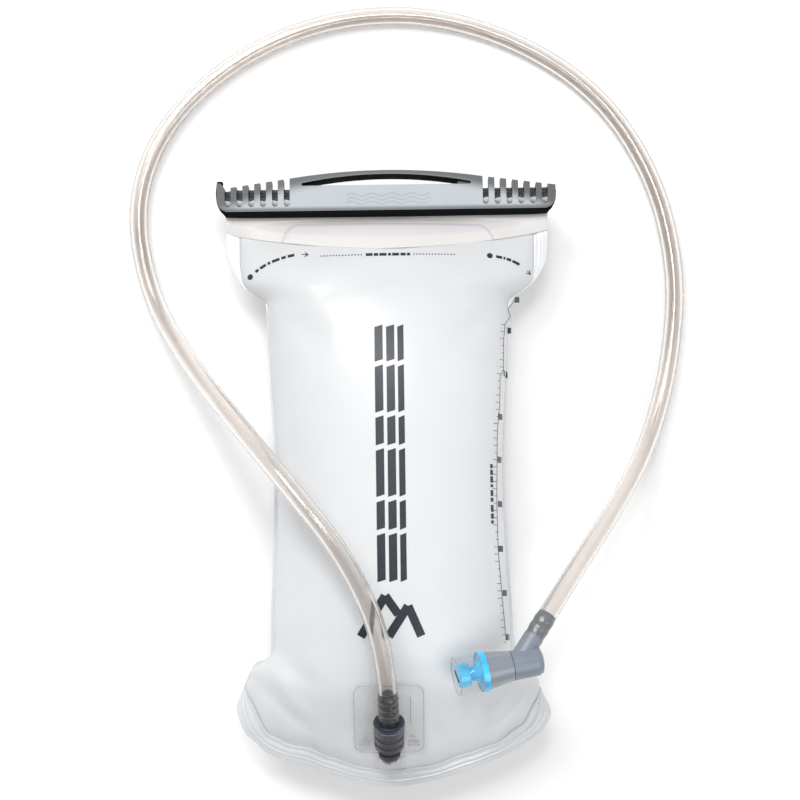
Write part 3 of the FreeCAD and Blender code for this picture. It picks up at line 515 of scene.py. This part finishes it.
# plane of the port's plate, in y and z, and its outline with the film's slope beside it
PLATE_Y = 118.2
PLATE_Z = 51.0
PLATE_SLOPE = 0.7265
PLATE_MIDDLE = 2.0
PLATE_HALF = 17.5
PLATE_TOP = 101.0
PLATE_FOOT = -138.5
BESIDE_SLOPE = 0.9
BESIDE_CURVE = 0.06


def blend_station(place):
    """A cross-section between the listed ones; place runs from 0 to the last one's number."""
    last = len(STATIONS) - 1
    low = min(int(place), last - 1)
    t = place - low
    values = []
    for column in range(5):
        a, b, c, d = (STATIONS[min(max(low + k, 0), last)][column] for k in (-1, 0, 1, 2))
        if low == 0:
            a = 2 * b - c
        if low == last - 1:
            d = 2 * c - b
        values.append(0.5 * (2 * b + (c - a) * t + (2 * a - 5 * b + 4 * c - d) * t ** 2
                             + (3 * b - a - 3 * c + d) * t ** 3))
    return values


def crease(x, y, x0, y0, x1, y1, width, depth):
    """The height of a soft fold along a line, fading at both ends."""
    run = math.hypot(x1 - x0, y1 - y0)
    along = ((x - x0) * (x1 - x0) + (y - y0) * (y1 - y0)) / run
    off = ((x - x0) * (y1 - y0) - (y - y0) * (x1 - x0)) / run
    reach = min(max(along / run, 0.0), 1.0)
    fade = math.sin(math.pi * reach) if 0.0 < reach < 1.0 else 0.0
    return depth * fade * math.exp(-(off / width) ** 2)


CREASES = [
    (-58, -86, -34, -108, 5.0, -1.6), (-62, -92, -40, -124, 4.0, 1.5), (-66, -104, -36, -130, 3.5, -1.3),
    (60, -84, 38, -112, 5.0, -1.5), (66, -96, 40, -126, 4.0, 1.5), (68, -108, 42, -134, 3.5, -1.3),
    (-58, 86, -30, 62, 7.0, -1.3), (-62, 92, -28, 92, 5.0, 1.2), (58, 86, 30, 60, 7.0, -1.3),
    (62, 92, 30, 96, 5.0, 1.2), (-40, -112, 0, -100, 9.0, 0.9), (40, -116, 6, -98, 9.0, 0.8),
    (-50, 40, -44, -50, 8.0, 0.7), (50, 44, 46, -40, 8.0, 0.6), (-20, 96, 24, 100, 6.0, -0.8),
    (-28, -136, -20, -120, 3.0, -0.8), (26, -136, 18, -122, 3.0, -0.8),
]


def film_point(place, share, front):
    """A point of the filled bag's film, in millimetres."""
    middle, side, width, rise, depth = blend_station(place)
    curl = math.sin(share * math.pi / 2)
    half = width * WELD_HALF
    x = half * curl
    y = middle + (side - middle) * abs(curl) ** END_POWER
    low = blend_station(0.0)
    own = low[0] + (low[1] - low[0]) * abs(curl) ** END_POWER
    fade = max(1.0 - place / BOTTOM_REACH, 0.0)
    y += (bottom_weld(low[2] * WELD_HALF * curl) - own) * fade * fade * (3 - 2 * fade)
    power = FRONT_POWER if front else BACK_POWER
    lift = math.sqrt(max(1.0 - abs(curl) ** power, 0.0))
    if not front:
        return Vector((x, y, max(SEAM - max(depth, 0.0) * BELLY * lift, FLOOR_GAP)))
    z = max(rise, 0.0) * CROWN * lift
    edge = min(z / CREASE_START, 1.0)
    for fold in CREASES:
        z += crease(x, y, *fold) * edge
    return Vector((x, y, SEAM + z))


def bottom_weld(x):
    """y of the bag's bottom weld at a place across."""
    for (x0, y0), (x1, y1) in zip(BOTTOM_WELD[:-1], BOTTOM_WELD[1:]):
        if x <= x1:
            t = min(max((x - x0) / (x1 - x0), 0.0), 1.0)
            t = t * t * (3 - 2 * t) * 0.5 + t * 0.5
            return y0 + (y1 - y0) * t
    return BOTTOM_WELD[-1][1]


def under_port(point):
    """The film's point, kept under the flat plate of the port where that is welded on."""
    plane = PLATE_Z + PLATE_SLOPE * (point.y + PLATE_Y)
    outside = max(abs(point.x + PLATE_MIDDLE) - PLATE_HALF, point.y + PLATE_TOP, PLATE_FOOT - point.y, 0.0)
    ceiling = plane + BESIDE_SLOPE * outside + BESIDE_CURVE * outside * outside
    return Vector((point.x, point.y, min(point.z, ceiling)))


def film_rows(front):
    """The film's points, row by row from the bottom weld to the mouth."""
    last = len(STATIONS) - 1
    rows = []
    for i in range(ALONG + 1):
        place = last * i / ALONG
        row = [film_point(place, 2 * j / ACROSS - 1, front) for j in range(ACROSS + 1)]
        rows.append([under_port(point) for point in row] if front else row)
    return rows


front_rows = film_rows(True)
back_rows = film_rows(False)
front_film = add_piece("film_front", grid_mesh("film_front", front_rows), "reservoir", FILM)
back_film = add_piece("film_back", grid_mesh("film_back", [list(reversed(r)) for r in back_rows]),
                      "reservoir", FILM)

# welded flange round the bag, from the film's edge to the sheet's edge
INNER_COUNT = 520
OUTER_COUNT = 1600
SEARCH = 60
SWEEPS = 30
OUTER_EDGE = [
    (-82.0, 130.0), (-82.0, 120.0), (-80.4, 110.0), (-73.5, 97.0), (-64.0, 90.6), (-61.8, 84.0),
    (-61.2, 66.0), (-58.4, 0.0), (-60.4, -66.0), (-60.8, -84.0), (-61.5, -90.6), (-67.7, -92.4),
    (-70.8, -97.0), (-77.3, -112.0), (-77.6, -117.5), (-74.4, -126.4), (-69.0, -131.8), (-60.6, -138.3),
    (-42.7, -143.5), (-27.9, -148.6), (-3.1, -154.4), (17.8, -152.2), (40.2, -145.6), (57.8, -138.5),
    (72.9, -128.9), (78.6, -119.5), (75.3, -110.7), (71.4, -102.8), (65.0, -95.0), (61.2, -84.0),
    (60.2, -66.0), (58.4, 0.0), (61.2, 66.0), (62.4, 84.0), (64.5, 90.0), (74.0, 97.0), (80.6, 108.0),
    (82.0, 120.0), (82.0, 130.0),
]
inner = [row[0] for row in reversed(front_rows)] + front_rows[0][1:-1] + [row[-1] for row in front_rows]
inner = resample([Vector((p.x, p.y, 0.0)) for p in inner], INNER_COUNT)
outer = spline([Vector((x, y, 0.0)) for x, y in OUTER_EDGE], OUTER_COUNT)
partner = []
start = 0
for spot in inner:
    high = min(start + SEARCH, len(outer) - 1)
    start = min(range(start, high + 1), key=lambda k: (outer[k] - spot).length)
    partner.append(float(start))
partner[0] = 0.0
partner[-1] = float(len(outer) - 1)
for sweep in range(SWEEPS):
    evened = [(a + b + c) / 3 for a, b, c in zip(partner[:-2], partner[1:-1], partner[2:])]
    partner = [partner[0]] + evened + [partner[-1]]
# beads of the weld, as shares of its width and heights in millimetres
PROFILE = [(0.0, 0.0), (0.04, 0.05), (0.09, 0.75), (0.14, 0.80), (0.19, 0.12), (0.30, 0.05), (0.40, 0.08),
           (0.45, 0.62), (0.50, 0.66), (0.55, 0.10), (0.62, 0.06), (0.67, 0.42), (0.71, 0.44), (0.75, 0.06),
           (0.86, 0.05), (0.95, 0.10), (0.98, 0.02), (1.0, -0.35)]
flange_rows = []
for index, (spot, number) in enumerate(zip(inner, partner)):
    low = min(int(number), len(outer) - 2)
    rim = outer[low].lerp(outer[low + 1], number - low)
    width = (rim - spot).length
    ripple = min(width / 9.0, 1.0) * (0.55 * math.sin(index * 0.21) + 0.4 * math.sin(index * 0.083 + 1.0))
    low_part = 0.12 + 0.88 * min(max((-86.0 - spot.y) / 8.0, 0.0), 1.0)
    row_top = []
    row_low = []
    for reach, bead in PROFILE:
        point = spot.lerp(rim, reach)
        level = FLANGE_TOP - 0.35 + bead * low_part * min(width / 6.0, 1.0) + ripple * reach
        row_top.append((point.x, point.y, level))
        row_low.append((point.x, point.y, FLANGE_TOP - 1.15 + ripple * reach - bead * 0.3))
    flange_rows.append(row_top + list(reversed(row_low)))
flange = add_piece("weld_flange", grid_mesh("weld_flange", flange_rows, closed=True), "reservoir", WELD)
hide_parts("front_panel")
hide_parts("back_panel")

# ---------------------------------------------------------------- prints on the film

film_tree = surface_tree(front_film)


def film_height(x, y):
    """Height of the bag's front at a place, in millimetres."""
    return surface_height(film_tree, x, y, FLANGE_TOP)


def printed(name, quads, step=1.5, lift=0.14):
    """Ink on the film: four-cornered patches that follow its surface."""
    points = []
    faces = []
    for a, b, c, d in quads:
        a, b, c, d = (Vector(p) for p in (a, b, c, d))
        columns = max(1, math.ceil(max((b - a).length, (c - d).length) / step))
        rows = max(1, math.ceil(max((d - a).length, (c - b).length) / step))
        base = len(points)
        for i in range(rows + 1):
            for j in range(columns + 1):
                low = a.lerp(b, j / columns)
                high = d.lerp(c, j / columns)
                spot = low.lerp(high, i / rows)
                points.append(Vector((spot.x, spot.y, film_height(spot.x, spot.y) + lift)) * MM)
        for i in range(rows):
            for j in range(columns):
                k = base + i * (columns + 1) + j
                faces.append((k, k + 1, k + columns + 2, k + columns + 1))
    mesh = bpy.data.meshes.new(name)
    mesh.from_pydata(points, [], faces)
    mesh.update()
    return add_piece(name, mesh, "reservoir", PRINT)


def stroke(path, width):
    """Patches along a line of points."""
    quads = []
    for start, end in zip(path[:-1], path[1:]):
        start = Vector(start)
        end = Vector(end)
        side = Vector((start.y - end.y, end.x - start.x)).normalized() * width / 2
        quads.append((start - side, end - side, end + side, start + side))
    return quads


def slanted_block(x0, x1, y0, y1, slant):
    """A block leaning along the bag."""
    return ((x0, y0), (x1, y0 + slant), (x1, y1 + slant), (x0, y1))


big = []
row = -54.0
for length in (25.0, 16.0, 25.0, 16.0, 25.0, 20.0):
    for left, right_edge in ((-6.6, -2.6), (-0.9, 3.1), (4.6, 7.6)):
        big.append(slanted_block(left, right_edge, row, row + length - 2.6, 1.2))
    row += length
printed("large_bars", big)
emblem = []
emblem += stroke([(-15.0, -80.0), (-3.0, -60.5), (3.2, -69.5)], 4.2)
emblem += stroke([(-1.5, -80.0), (8.0, -65.5), (14.2, -80.0)], 4.2)
printed("peaks_emblem", emblem)

small = []
x = -33.0
while x < 34.5:
    if abs(x - 0.5) > 12.5:
        small.append(((x - 0.32, 109.0), (x + 0.32, 109.0), (x + 0.32, 109.65), (x - 0.32, 109.65)))
    x += 1.55
for left, wide in ((-10.6, 3.4), (-6.6, 2.2), (-3.8, 3.6), (0.6, 1.4), (2.6, 3.4), (6.8, 2.6), (10.0, 1.6)):
    small.append(((left, 108.55), (left + wide, 108.55), (left + wide, 110.1), (left, 110.1)))
printed("fill_line", small, step=0.8)


def disc(x, y, radius):
    """A round dot as four-cornered patches."""
    rim = [(x + radius * math.cos(math.pi * k / 6), y + radius * math.sin(math.pi * k / 6))
           for k in range(12)]
    return [((x, y), rim[k], rim[k + 1], rim[(k + 2) % 12]) for k in range(0, 12, 2)]


NOTE_COUNT = 200


def marks_along(points, first, last, sizes, height):
    """Short bars that follow a curve."""
    path = spline([Vector((x, y, 0.0)) for x, y in points], NOTE_COUNT)
    final = NOTE_COUNT - 1
    quads = []
    place = first
    for size in sizes:
        start = path[int(place * final)]
        end = path[min(int((place + size) * final), final)]
        quads += stroke([start.xy, end.xy], height)
        place += size + 0.035
        if place > last:
            break
    return quads


def printed_note(name, points, dot, sizes):
    """A round dot, a row of short bars along a curve and an arrow at its end."""
    quads = disc(dot[0], dot[1], 1.5) + marks_along(points, 0.0, 0.86, sizes, 1.5)
    path = spline([Vector((x, y, 0.0)) for x, y in points], NOTE_COUNT)
    tip = path[-1].xy
    back = (tip - path[180].xy).normalized()
    side = Vector((-back.y, back.x))
    quads += stroke([path[176].xy, tip], 0.4)
    quads += stroke([tip - back * 1.7 + side * 1.2, tip, tip - back * 1.7 - side * 1.2], 0.45)
    return printed(name, quads, step=0.8)


printed_note("note_left", [(-66.6, 103.2), (-61.0, 106.6), (-54.0, 109.2), (-46.0, 110.9), (-39.6, 110.6)],
             (-69.4, 100.9), (0.07, 0.12, 0.05, 0.14, 0.08, 0.12))
printed_note("note_right", [(55.0, 108.9), (60.0, 108.0), (65.0, 106.2), (69.4, 103.8), (72.6, 100.8)],
             (51.8, 109.2), (0.16, 0.05, 0.12, 0.2))

scale_quads = []
SCALE_LINE = [(66.0, 88.5), (62.5, 84.0), (63.4, 80.0), (60.2, 75.0), (59.2, 66.0), (59.0, 52.0),
              (57.0, 48.0), (56.6, 34.0), (55.0, 20.0), (54.6, 6.0), (54.0, -15.0), (54.2, -38.0),
              (55.6, -60.0), (57.4, -82.0)]
scale_quads += stroke([(x - 1.2, y) for x, y in SCALE_LINE], 0.3)
SCALE_MARKS = [(61.6, 72.7), (59.3, 50.1), (55.9, 27.8), (55.3, 6.3), (55.0, -15.8), (54.8, -38.1),
               (56.4, -59.9), (57.6, -81.7), (66.1, 88.5)]
for x, y in SCALE_MARKS:
    scale_quads.append(((x - 1.6, y - 1.5), (x + 0.9, y - 1.5), (x + 0.9, y + 1.5), (x - 1.6, y + 1.5)))
tick = -84.0
while tick < 76.0:
    edge = curve_value([(y, x) for x, y in reversed(SCALE_LINE)], tick) - 1.2
    scale_quads += stroke([(edge, tick), (edge - (2.2 if int(tick) % 3 else 1.2), tick)], 0.28)
    tick += 3.6
for start, long in ((3.6, 2.0), (0.8, 2.6), (-2.4, 3.2), (-6.4, 1.4), (-9.2, 3.0), (-13.0, 2.0), (-16.6, 3.4),
                    (-20.8, 2.6), (-24.2, 1.6)):
    scale_quads.append(((49.6, start - long), (51.0, start - long), (51.0, start), (49.6, start)))
printed("volume_scale", scale_quads, step=1.0)

# ---------------------------------------------------------------- folded mouth band

RAIL_Y = 140.5
FOLD = 2.2 + 0.15 + 0.4
RAIL_Z = SEAM + 0.4 + FOLD
BAND_HALF = 82.0
FOLD_COUNT = 90
LIP_COLUMNS = 60


def fold_path(share):
    """Middle of the inner lip: up the back, round the rail and down over the bag's front."""
    path = [(130.0, RAIL_Z - FOLD), (135.5, RAIL_Z - FOLD)]
    for turn in range(0, 256, 12):
        angle = math.radians(min(turn, 248))
        path.append((RAIL_Y + FOLD * math.sin(angle), RAIL_Z - FOLD * math.cos(angle)))
    path += [(136.9, 33.9), (135.8, 33.0), (134.2, 32.65)]
    edge = 112.8 + 11.5 * abs(share) ** 1.8
    for step in range(13):
        y = 132.5 + (edge - 132.5) * step / 12
        path.append((y, max(film_height(BAND_HALF * share, y), FLANGE_TOP) + 0.75 - 0.5 * (step / 12) ** 3))
    return resample([Vector((0.0, y, z)) for y, z in path], FOLD_COUNT)


def lip_mesh(name, first, last):
    """One lip as a thick sheet that thins towards its free edge."""
    rows = []
    for column in range(-LIP_COLUMNS, LIP_COLUMNS + 1):
        share = column / LIP_COLUMNS
        path = fold_path(share)
        near = []
        far = []
        for index, spot in enumerate(path):
            run = (path[min(index + 1, FOLD_COUNT - 1)] - path[max(index - 1, 0)]).normalized()
            side = Vector((0.0, run.z, -run.y))
            drape = max(index - 48, 0) / 41
            wave = 0.30 * drape * math.sin(share * 9.0 + 0.6) + 0.15 * drape * math.sin(share * 21.0)
            x = BAND_HALF * share
            for rows_side, distance in ((near, first), (far, last)):
                thin = 1.0 - 0.8 * max(index - 78, 0) / 11
                place = spot + side * distance * thin
                rows_side.append((x, place.y, place.z + wave))
        rows.append(near + list(reversed(far)))
    return grid_mesh(name, rows, closed=True)


flap_front = add_piece("flap_inner", lip_mesh("flap_inner", -0.4, 0.4), "reservoir", BAND)
flap_back = add_piece("flap_outer", lip_mesh("flap_outer", 0.45, 1.25), "reservoir", BAND)
for flap, node in ((flap_front, "mouth_band_front"), (flap_back, "mouth_band_back")):
    flap.data.materials.append(FOLD_PAINTED_SHADE)
    # the fold's faces inside the slider's channel get the near-black painted shade
    for face in flap.data.polygons:
        if face.center.y > 0.1402 and abs(face.center.x) < 0.0815:
            face.material_index = 1
    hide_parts(node)
finish_node("fold_rail", GREY)

flap_tree = surface_tree(flap_back)


def raised_line(name, tree, path, width, lift, body, material, fallback):
    """A low raised line moulded on a surface, along a path of places seen from above."""
    rows = []
    path = resample([Vector((x, y, 0.0)) for x, y in path], max(int(len(path) * 14), 30))
    for index, spot in enumerate(path):
        run = (path[min(index + 1, len(path) - 1)] - path[max(index - 1, 0)]).normalized()
        side = Vector((-run.y, run.x, 0.0))
        row = []
        for reach, rise in ((-0.5, -0.1), (-0.35, 0.7), (0.0, 1.0), (0.35, 0.7), (0.5, -0.1)):
            place = spot + side * width * reach
            level = surface_height(tree, place.x, place.y, fallback)
            row.append((place.x, place.y, level + lift * rise))
        rows.append(row)
    return add_piece(name, grid_mesh(name, rows), body, material)


FRAME_LINE = [(-53.5, 116.2), (-52.0, 119.5), (-49.5, 125.3), (-46.5, 127.0), (-40.0, 127.6), (0.0, 127.2),
              (41.0, 126.2), (47.5, 125.6), (50.6, 123.6), (53.5, 118.6), (55.4, 115.8)]
frame_line = spline([Vector((x, y, 0.0)) for x, y in FRAME_LINE], 120)
# the raised frame line on the flap, in the greyer colour that paints the shade along its step
raised_line("flap_frame", flap_tree, [tuple(p.xy) for p in frame_line], 2.2, 0.22, "reservoir", EMBOSS_PAINTED_SHADE, 34.0)

# ---------------------------------------------------------------- slider

# the rear wall is lower behind the fins, left and right
wall_cut = bmesh.new()
for x0, x1, level in ((-83.0, -49.4, 146.9), (49.4, 88.0, 146.4)):
    made = bmesh.ops.create_cube(wall_cut, size=1.0)["verts"]
    for corner in made:
        corner.co = Vector((x0 if corner.co.x < 0 else x1, level if corner.co.y < 0 else 160.0,
                            20.0 if corner.co.z < 0 else 33.02)) * MM
wall_mesh = bpy.data.meshes.new("wall_cut")
wall_cut.to_mesh(wall_mesh)
wall_cut.free()
wall_cutter = bpy.data.objects.new("wall_cut", wall_mesh)
scene.collection.objects.link(wall_cutter)
slider = moulded("slider_body", "slider", "slider", GREY, width=0.4, cutter=wall_cutter)
bpy.data.objects.remove(wall_cutter)
# faces that face down the bag, and faces inside the handle opening, get the near-black painted shade
slider.data.materials.append(SHADE)
for face in slider.data.polygons:
    painted_shade_face = face.normal.y < -0.5 or (face.normal.y > 0.6 and abs(face.center.x) < 0.0428
                                        and face.center.y < 0.1476)
    if painted_shade_face:
        face.material_index = 1

# a near-black strip under the slider's front edge, set back from its face: painted shadow of the gap beneath
# it
shadow_strip_path = [(-86.2, 150.2), (-86.7, 144.0), (-85.8, 137.8), (-82.6, 133.4), (-78.0, 131.9), (-40.0, 131.6),
            (0.0, 131.5), (40.0, 131.6), (78.0, 131.9), (82.6, 133.6), (85.8, 138.0), (86.5, 144.0)]
shadow_strip_path = spline([Vector((x, y, 0.0)) for x, y in shadow_strip_path], 160)
shadow_strip_rows = []
for index, spot in enumerate(shadow_strip_path):
    run = (shadow_strip_path[min(index + 1, len(shadow_strip_path) - 1)] - shadow_strip_path[max(index - 1, 0)]).normalized()
    side = Vector((-run.y, run.x, 0.0))
    ring = []
    for reach, level in ((0.0, 36.0), (0.0, 37.8), (0.5, 38.9), (1.6, 39.9), (3.0, 40.2), (3.2, 36.0)):
        place = spot + side * reach
        ring.append((place.x, place.y, level))
    shadow_strip_rows.append(ring)
painted_shadow_strip = add_piece("slider_painted_shadow_strip", grid_mesh("slider_painted_shadow_strip", shadow_strip_rows, closed=True), "slider", SHADE)

slider_tree = surface_tree(slider)
for number in range(3):
    base = 138.0 + number * 2.1
    wave_path = [(-20.0 + k, base + 0.75 * math.sin(k * 0.62)) for k in range(0, 43)]
    raised_line("slider_wave_%d" % (number + 1), slider_tree, wave_path, 0.7, 0.16, "slider", GREY, 40.6)
boss_rows = []
for k in range(15):
    x = 36.4 + k * 0.46
    tall = 1.5 if k % 2 else 1.15
    boss_rows.append([(x, 148.4 + tall * math.cos(math.radians(a)),
                       36.0 + 2.4 * math.sin(math.radians(a)) * tall / 1.5) for a in range(0, 360, 20)])
add_piece("slot_boss", grid_mesh("slot_boss", boss_rows, closed=True), "slider", GREY)

# ---------------------------------------------------------------- port, plug and valve

plate = moulded("port_base", "port_plate", "reservoir", CLEAR, width=0.2)
socket = moulded("port_cup", "port_socket", "reservoir", SOCKET, width=0.2)
PORT_SPOT = Vector((-2.0, -122.9, 59.4))
PORT_TILT = math.radians(36.0)
plug_way = Vector((0.0, math.cos(PORT_TILT), math.sin(PORT_TILT)))
face_way = Vector((0.0, math.sin(PORT_TILT), -math.cos(PORT_TILT)))


def port_place(across, along, depth):
    """A place given across the port, along the plug and down into the bag's face."""
    return PORT_SPOT + Vector((across, 0.0, 0.0)) + plug_way * along + face_way * depth


def bead(name, path, radius, body, material, sides=10):
    """A thin round line through the given places, in millimetres."""
    rings = tube_rings([Vector(p) * MM for p in path], radius * MM, sides)
    return add_piece(name, grid_mesh(name, [[tuple(q / MM) for q in ring] for ring in rings], closed=True),
                     body, material)


# grey bead round the plate's edge: painted shade of its outline
rim_path = []
for cx, cz, start in ((12.0, -18.6, 270), (12.0, 13.0, 0), (-12.0, 13.0, 90), (-12.0, -18.6, 180)):
    for turn in range(start, start + 91, 10):
        angle = math.radians(turn)
        rim_path.append(port_place(cx + 5.0 * math.cos(angle), cz + 5.0 * math.sin(angle), 8.15))
bead("port_rim", resample(rim_path + [rim_path[0]], 140), 0.2, "reservoir", EDGE_PAINTED_SHADE)
# ribs on the plate, drawn as grey beads: painted shade where they are seen edge-on
PORT_MARKS = ((-16.6, 9.0, 5.8), (-19.0, 9.0, 5.8), (-13.4, 10.2, 2.4))
for side, sign in (("left", -1.0), ("right", 1.0)):
    for number, (along, start, reach) in enumerate(PORT_MARKS):
        bead("port_mark_%s_%d" % (side, number + 1),
             [port_place(sign * (start + reach * k / 6), along, 8.0) for k in range(7)],
             0.36, "reservoir", EDGE_PAINTED_SHADE)
# three bright rings round the plug inside the socket: painted glints
for number, (along, wide, thick) in enumerate(((-0.3, 7.1, 0.2), (-5.4, 6.9, 0.12), (-12.0, 6.7, 0.2))):
    ring = [port_place(wide * math.cos(math.radians(a)), along, wide * math.sin(math.radians(a)))
            for a in range(0, 361, 8)]
    bead("port_ring_%d" % (number + 1), ring, thick, "reservoir", GLINT)
collar = [port_place(6.3 * math.cos(math.radians(a)), 2.25, 6.3 * math.sin(math.radians(a)))
          for a in range(0, 361, 8)]
bead("plug_collar", collar, 0.38, "hose", PLUG)
# grey bead along the plate beside the socket: painted shade of an edge line
bead("port_runner", [port_place(10.6, -6.0 + k, 8.15) for k in range(0, 18)], 0.2, "reservoir", EDGE_PAINTED_SHADE)
for node, material in (("spring_cap", CLEAR), ("poppet", PLUG), ("poppet_seal", SEAL),
                       ("poppet_spring", STEEL), ("hose_plug", PLUG), ("plug_o_rings", SEAL),
                       ("elbow_body", ELBOW), ("valve_core", ELBOW), ("core_o_rings", SEAL),
                       ("shutoff_barrel", SMOKE), ("bite_valve", BLUE_PAINTED_GLOW), ("valve_shield", SHIELD)):
    finish_node(node, material)

ELBOW_SPOT = Vector((59.7, -94.4, 66.5))
MOUTH_TURN = math.radians(190.0)
MOUTH_SLOPE = math.radians(9.0)
mouth_way = Vector((math.cos(MOUTH_SLOPE) * math.cos(MOUTH_TURN),
                    math.cos(MOUTH_SLOPE) * math.sin(MOUTH_TURN), math.sin(MOUTH_SLOPE)))
mouth_side = mouth_way.orthogonal().normalized()
mouth_other = mouth_way.cross(mouth_side)


def valve_place(along, turn, wide):
    """A place given along the valve's axis, round it and out from it."""
    outwards = mouth_side * math.cos(turn) + mouth_other * math.sin(turn)
    return ELBOW_SPOT + mouth_way * along + outwards * wide


def valve_ring(name, along, wide, thick, body, material):
    """A thin ring round the valve's axis."""
    ring = [valve_place(along, math.radians(a), wide) for a in range(0, 361, 8)]
    bead(name, ring, thick, body, material)


CONE = ((16.8, 8.3), (17.7, 8.2), (18.3, 6.8), (19.4, 5.2), (20.8, 4.0), (22.4, 3.4), (23.9, 3.3))
cone_rows = []
for along, wide in CONE:
    cone_rows.append([valve_place(along, math.radians(a), wide) for a in range(0, 360, 8)])
add_piece("bite_cone", grid_mesh("bite_cone", cone_rows, closed=True), "valve", BLUE_PAINTED_GLOW)
bead("mouth_slit", [valve_place(29.62, math.pi / 2, k - 4.0) for k in range(9)], 0.32, "valve", SEAL)
# grey beads at the cap's front and back edges: painted shade of its outline
valve_ring("shield_rim", 30.0, 9.35, 0.22, "shield", EDGE_PAINTED_SHADE)
valve_ring("shield_foot", 18.7, 9.35, 0.16, "shield", EDGE_PAINTED_SHADE)

# ---------------------------------------------------------------- floor and light

floor_mesh = grid_mesh("floor", [[(-3000, -3000, 0), (3000, -3000, 0)], [(-3000, 3000, 0), (3000, 3000, 0)]])
floor = bpy.data.objects.new("floor", floor_mesh)
scene.collection.objects.link(floor)
floor_mesh.materials.append(shader("floor", (0.93, 0.93, 0.93), 0.8, vary=0.01, grain=0.0))

world = bpy.data.worlds.new("studio")
scene.world = world
world.use_nodes = True
world.node_tree.nodes["Background"].inputs["Color"].default_value = (1.0, 1.0, 1.0, 1.0)
world.node_tree.nodes["Background"].inputs["Strength"].default_value = 0.56


def soft_light(name, place, target, side, watts):
    """A square soft light aimed at a point."""
    lamp = bpy.data.lights.new(name, "AREA")
    lamp.shape = "SQUARE"
    lamp.size = side
    lamp.energy = watts
    holder = bpy.data.objects.new(name, lamp)
    scene.collection.objects.link(holder)
    holder.location = place
    holder.rotation_mode = "QUATERNION"
    holder.rotation_quaternion = (Vector(target) - Vector(place)).to_track_quat("-Z", "Y")


soft_light("key", (-0.45, 0.70, 1.05), (0.0, 0.02, 0.0), 0.6, 8.0)
soft_light("fill", (0.7, -0.65, 1.0), (0.0, 0.0, 0.0), 0.9, 5.0)
soft_light("strip", (0.0, 0.36, 1.05), (0.0, 0.12, 0.0), 0.26, 3.2)
scene.view_settings.view_transform = "Standard"
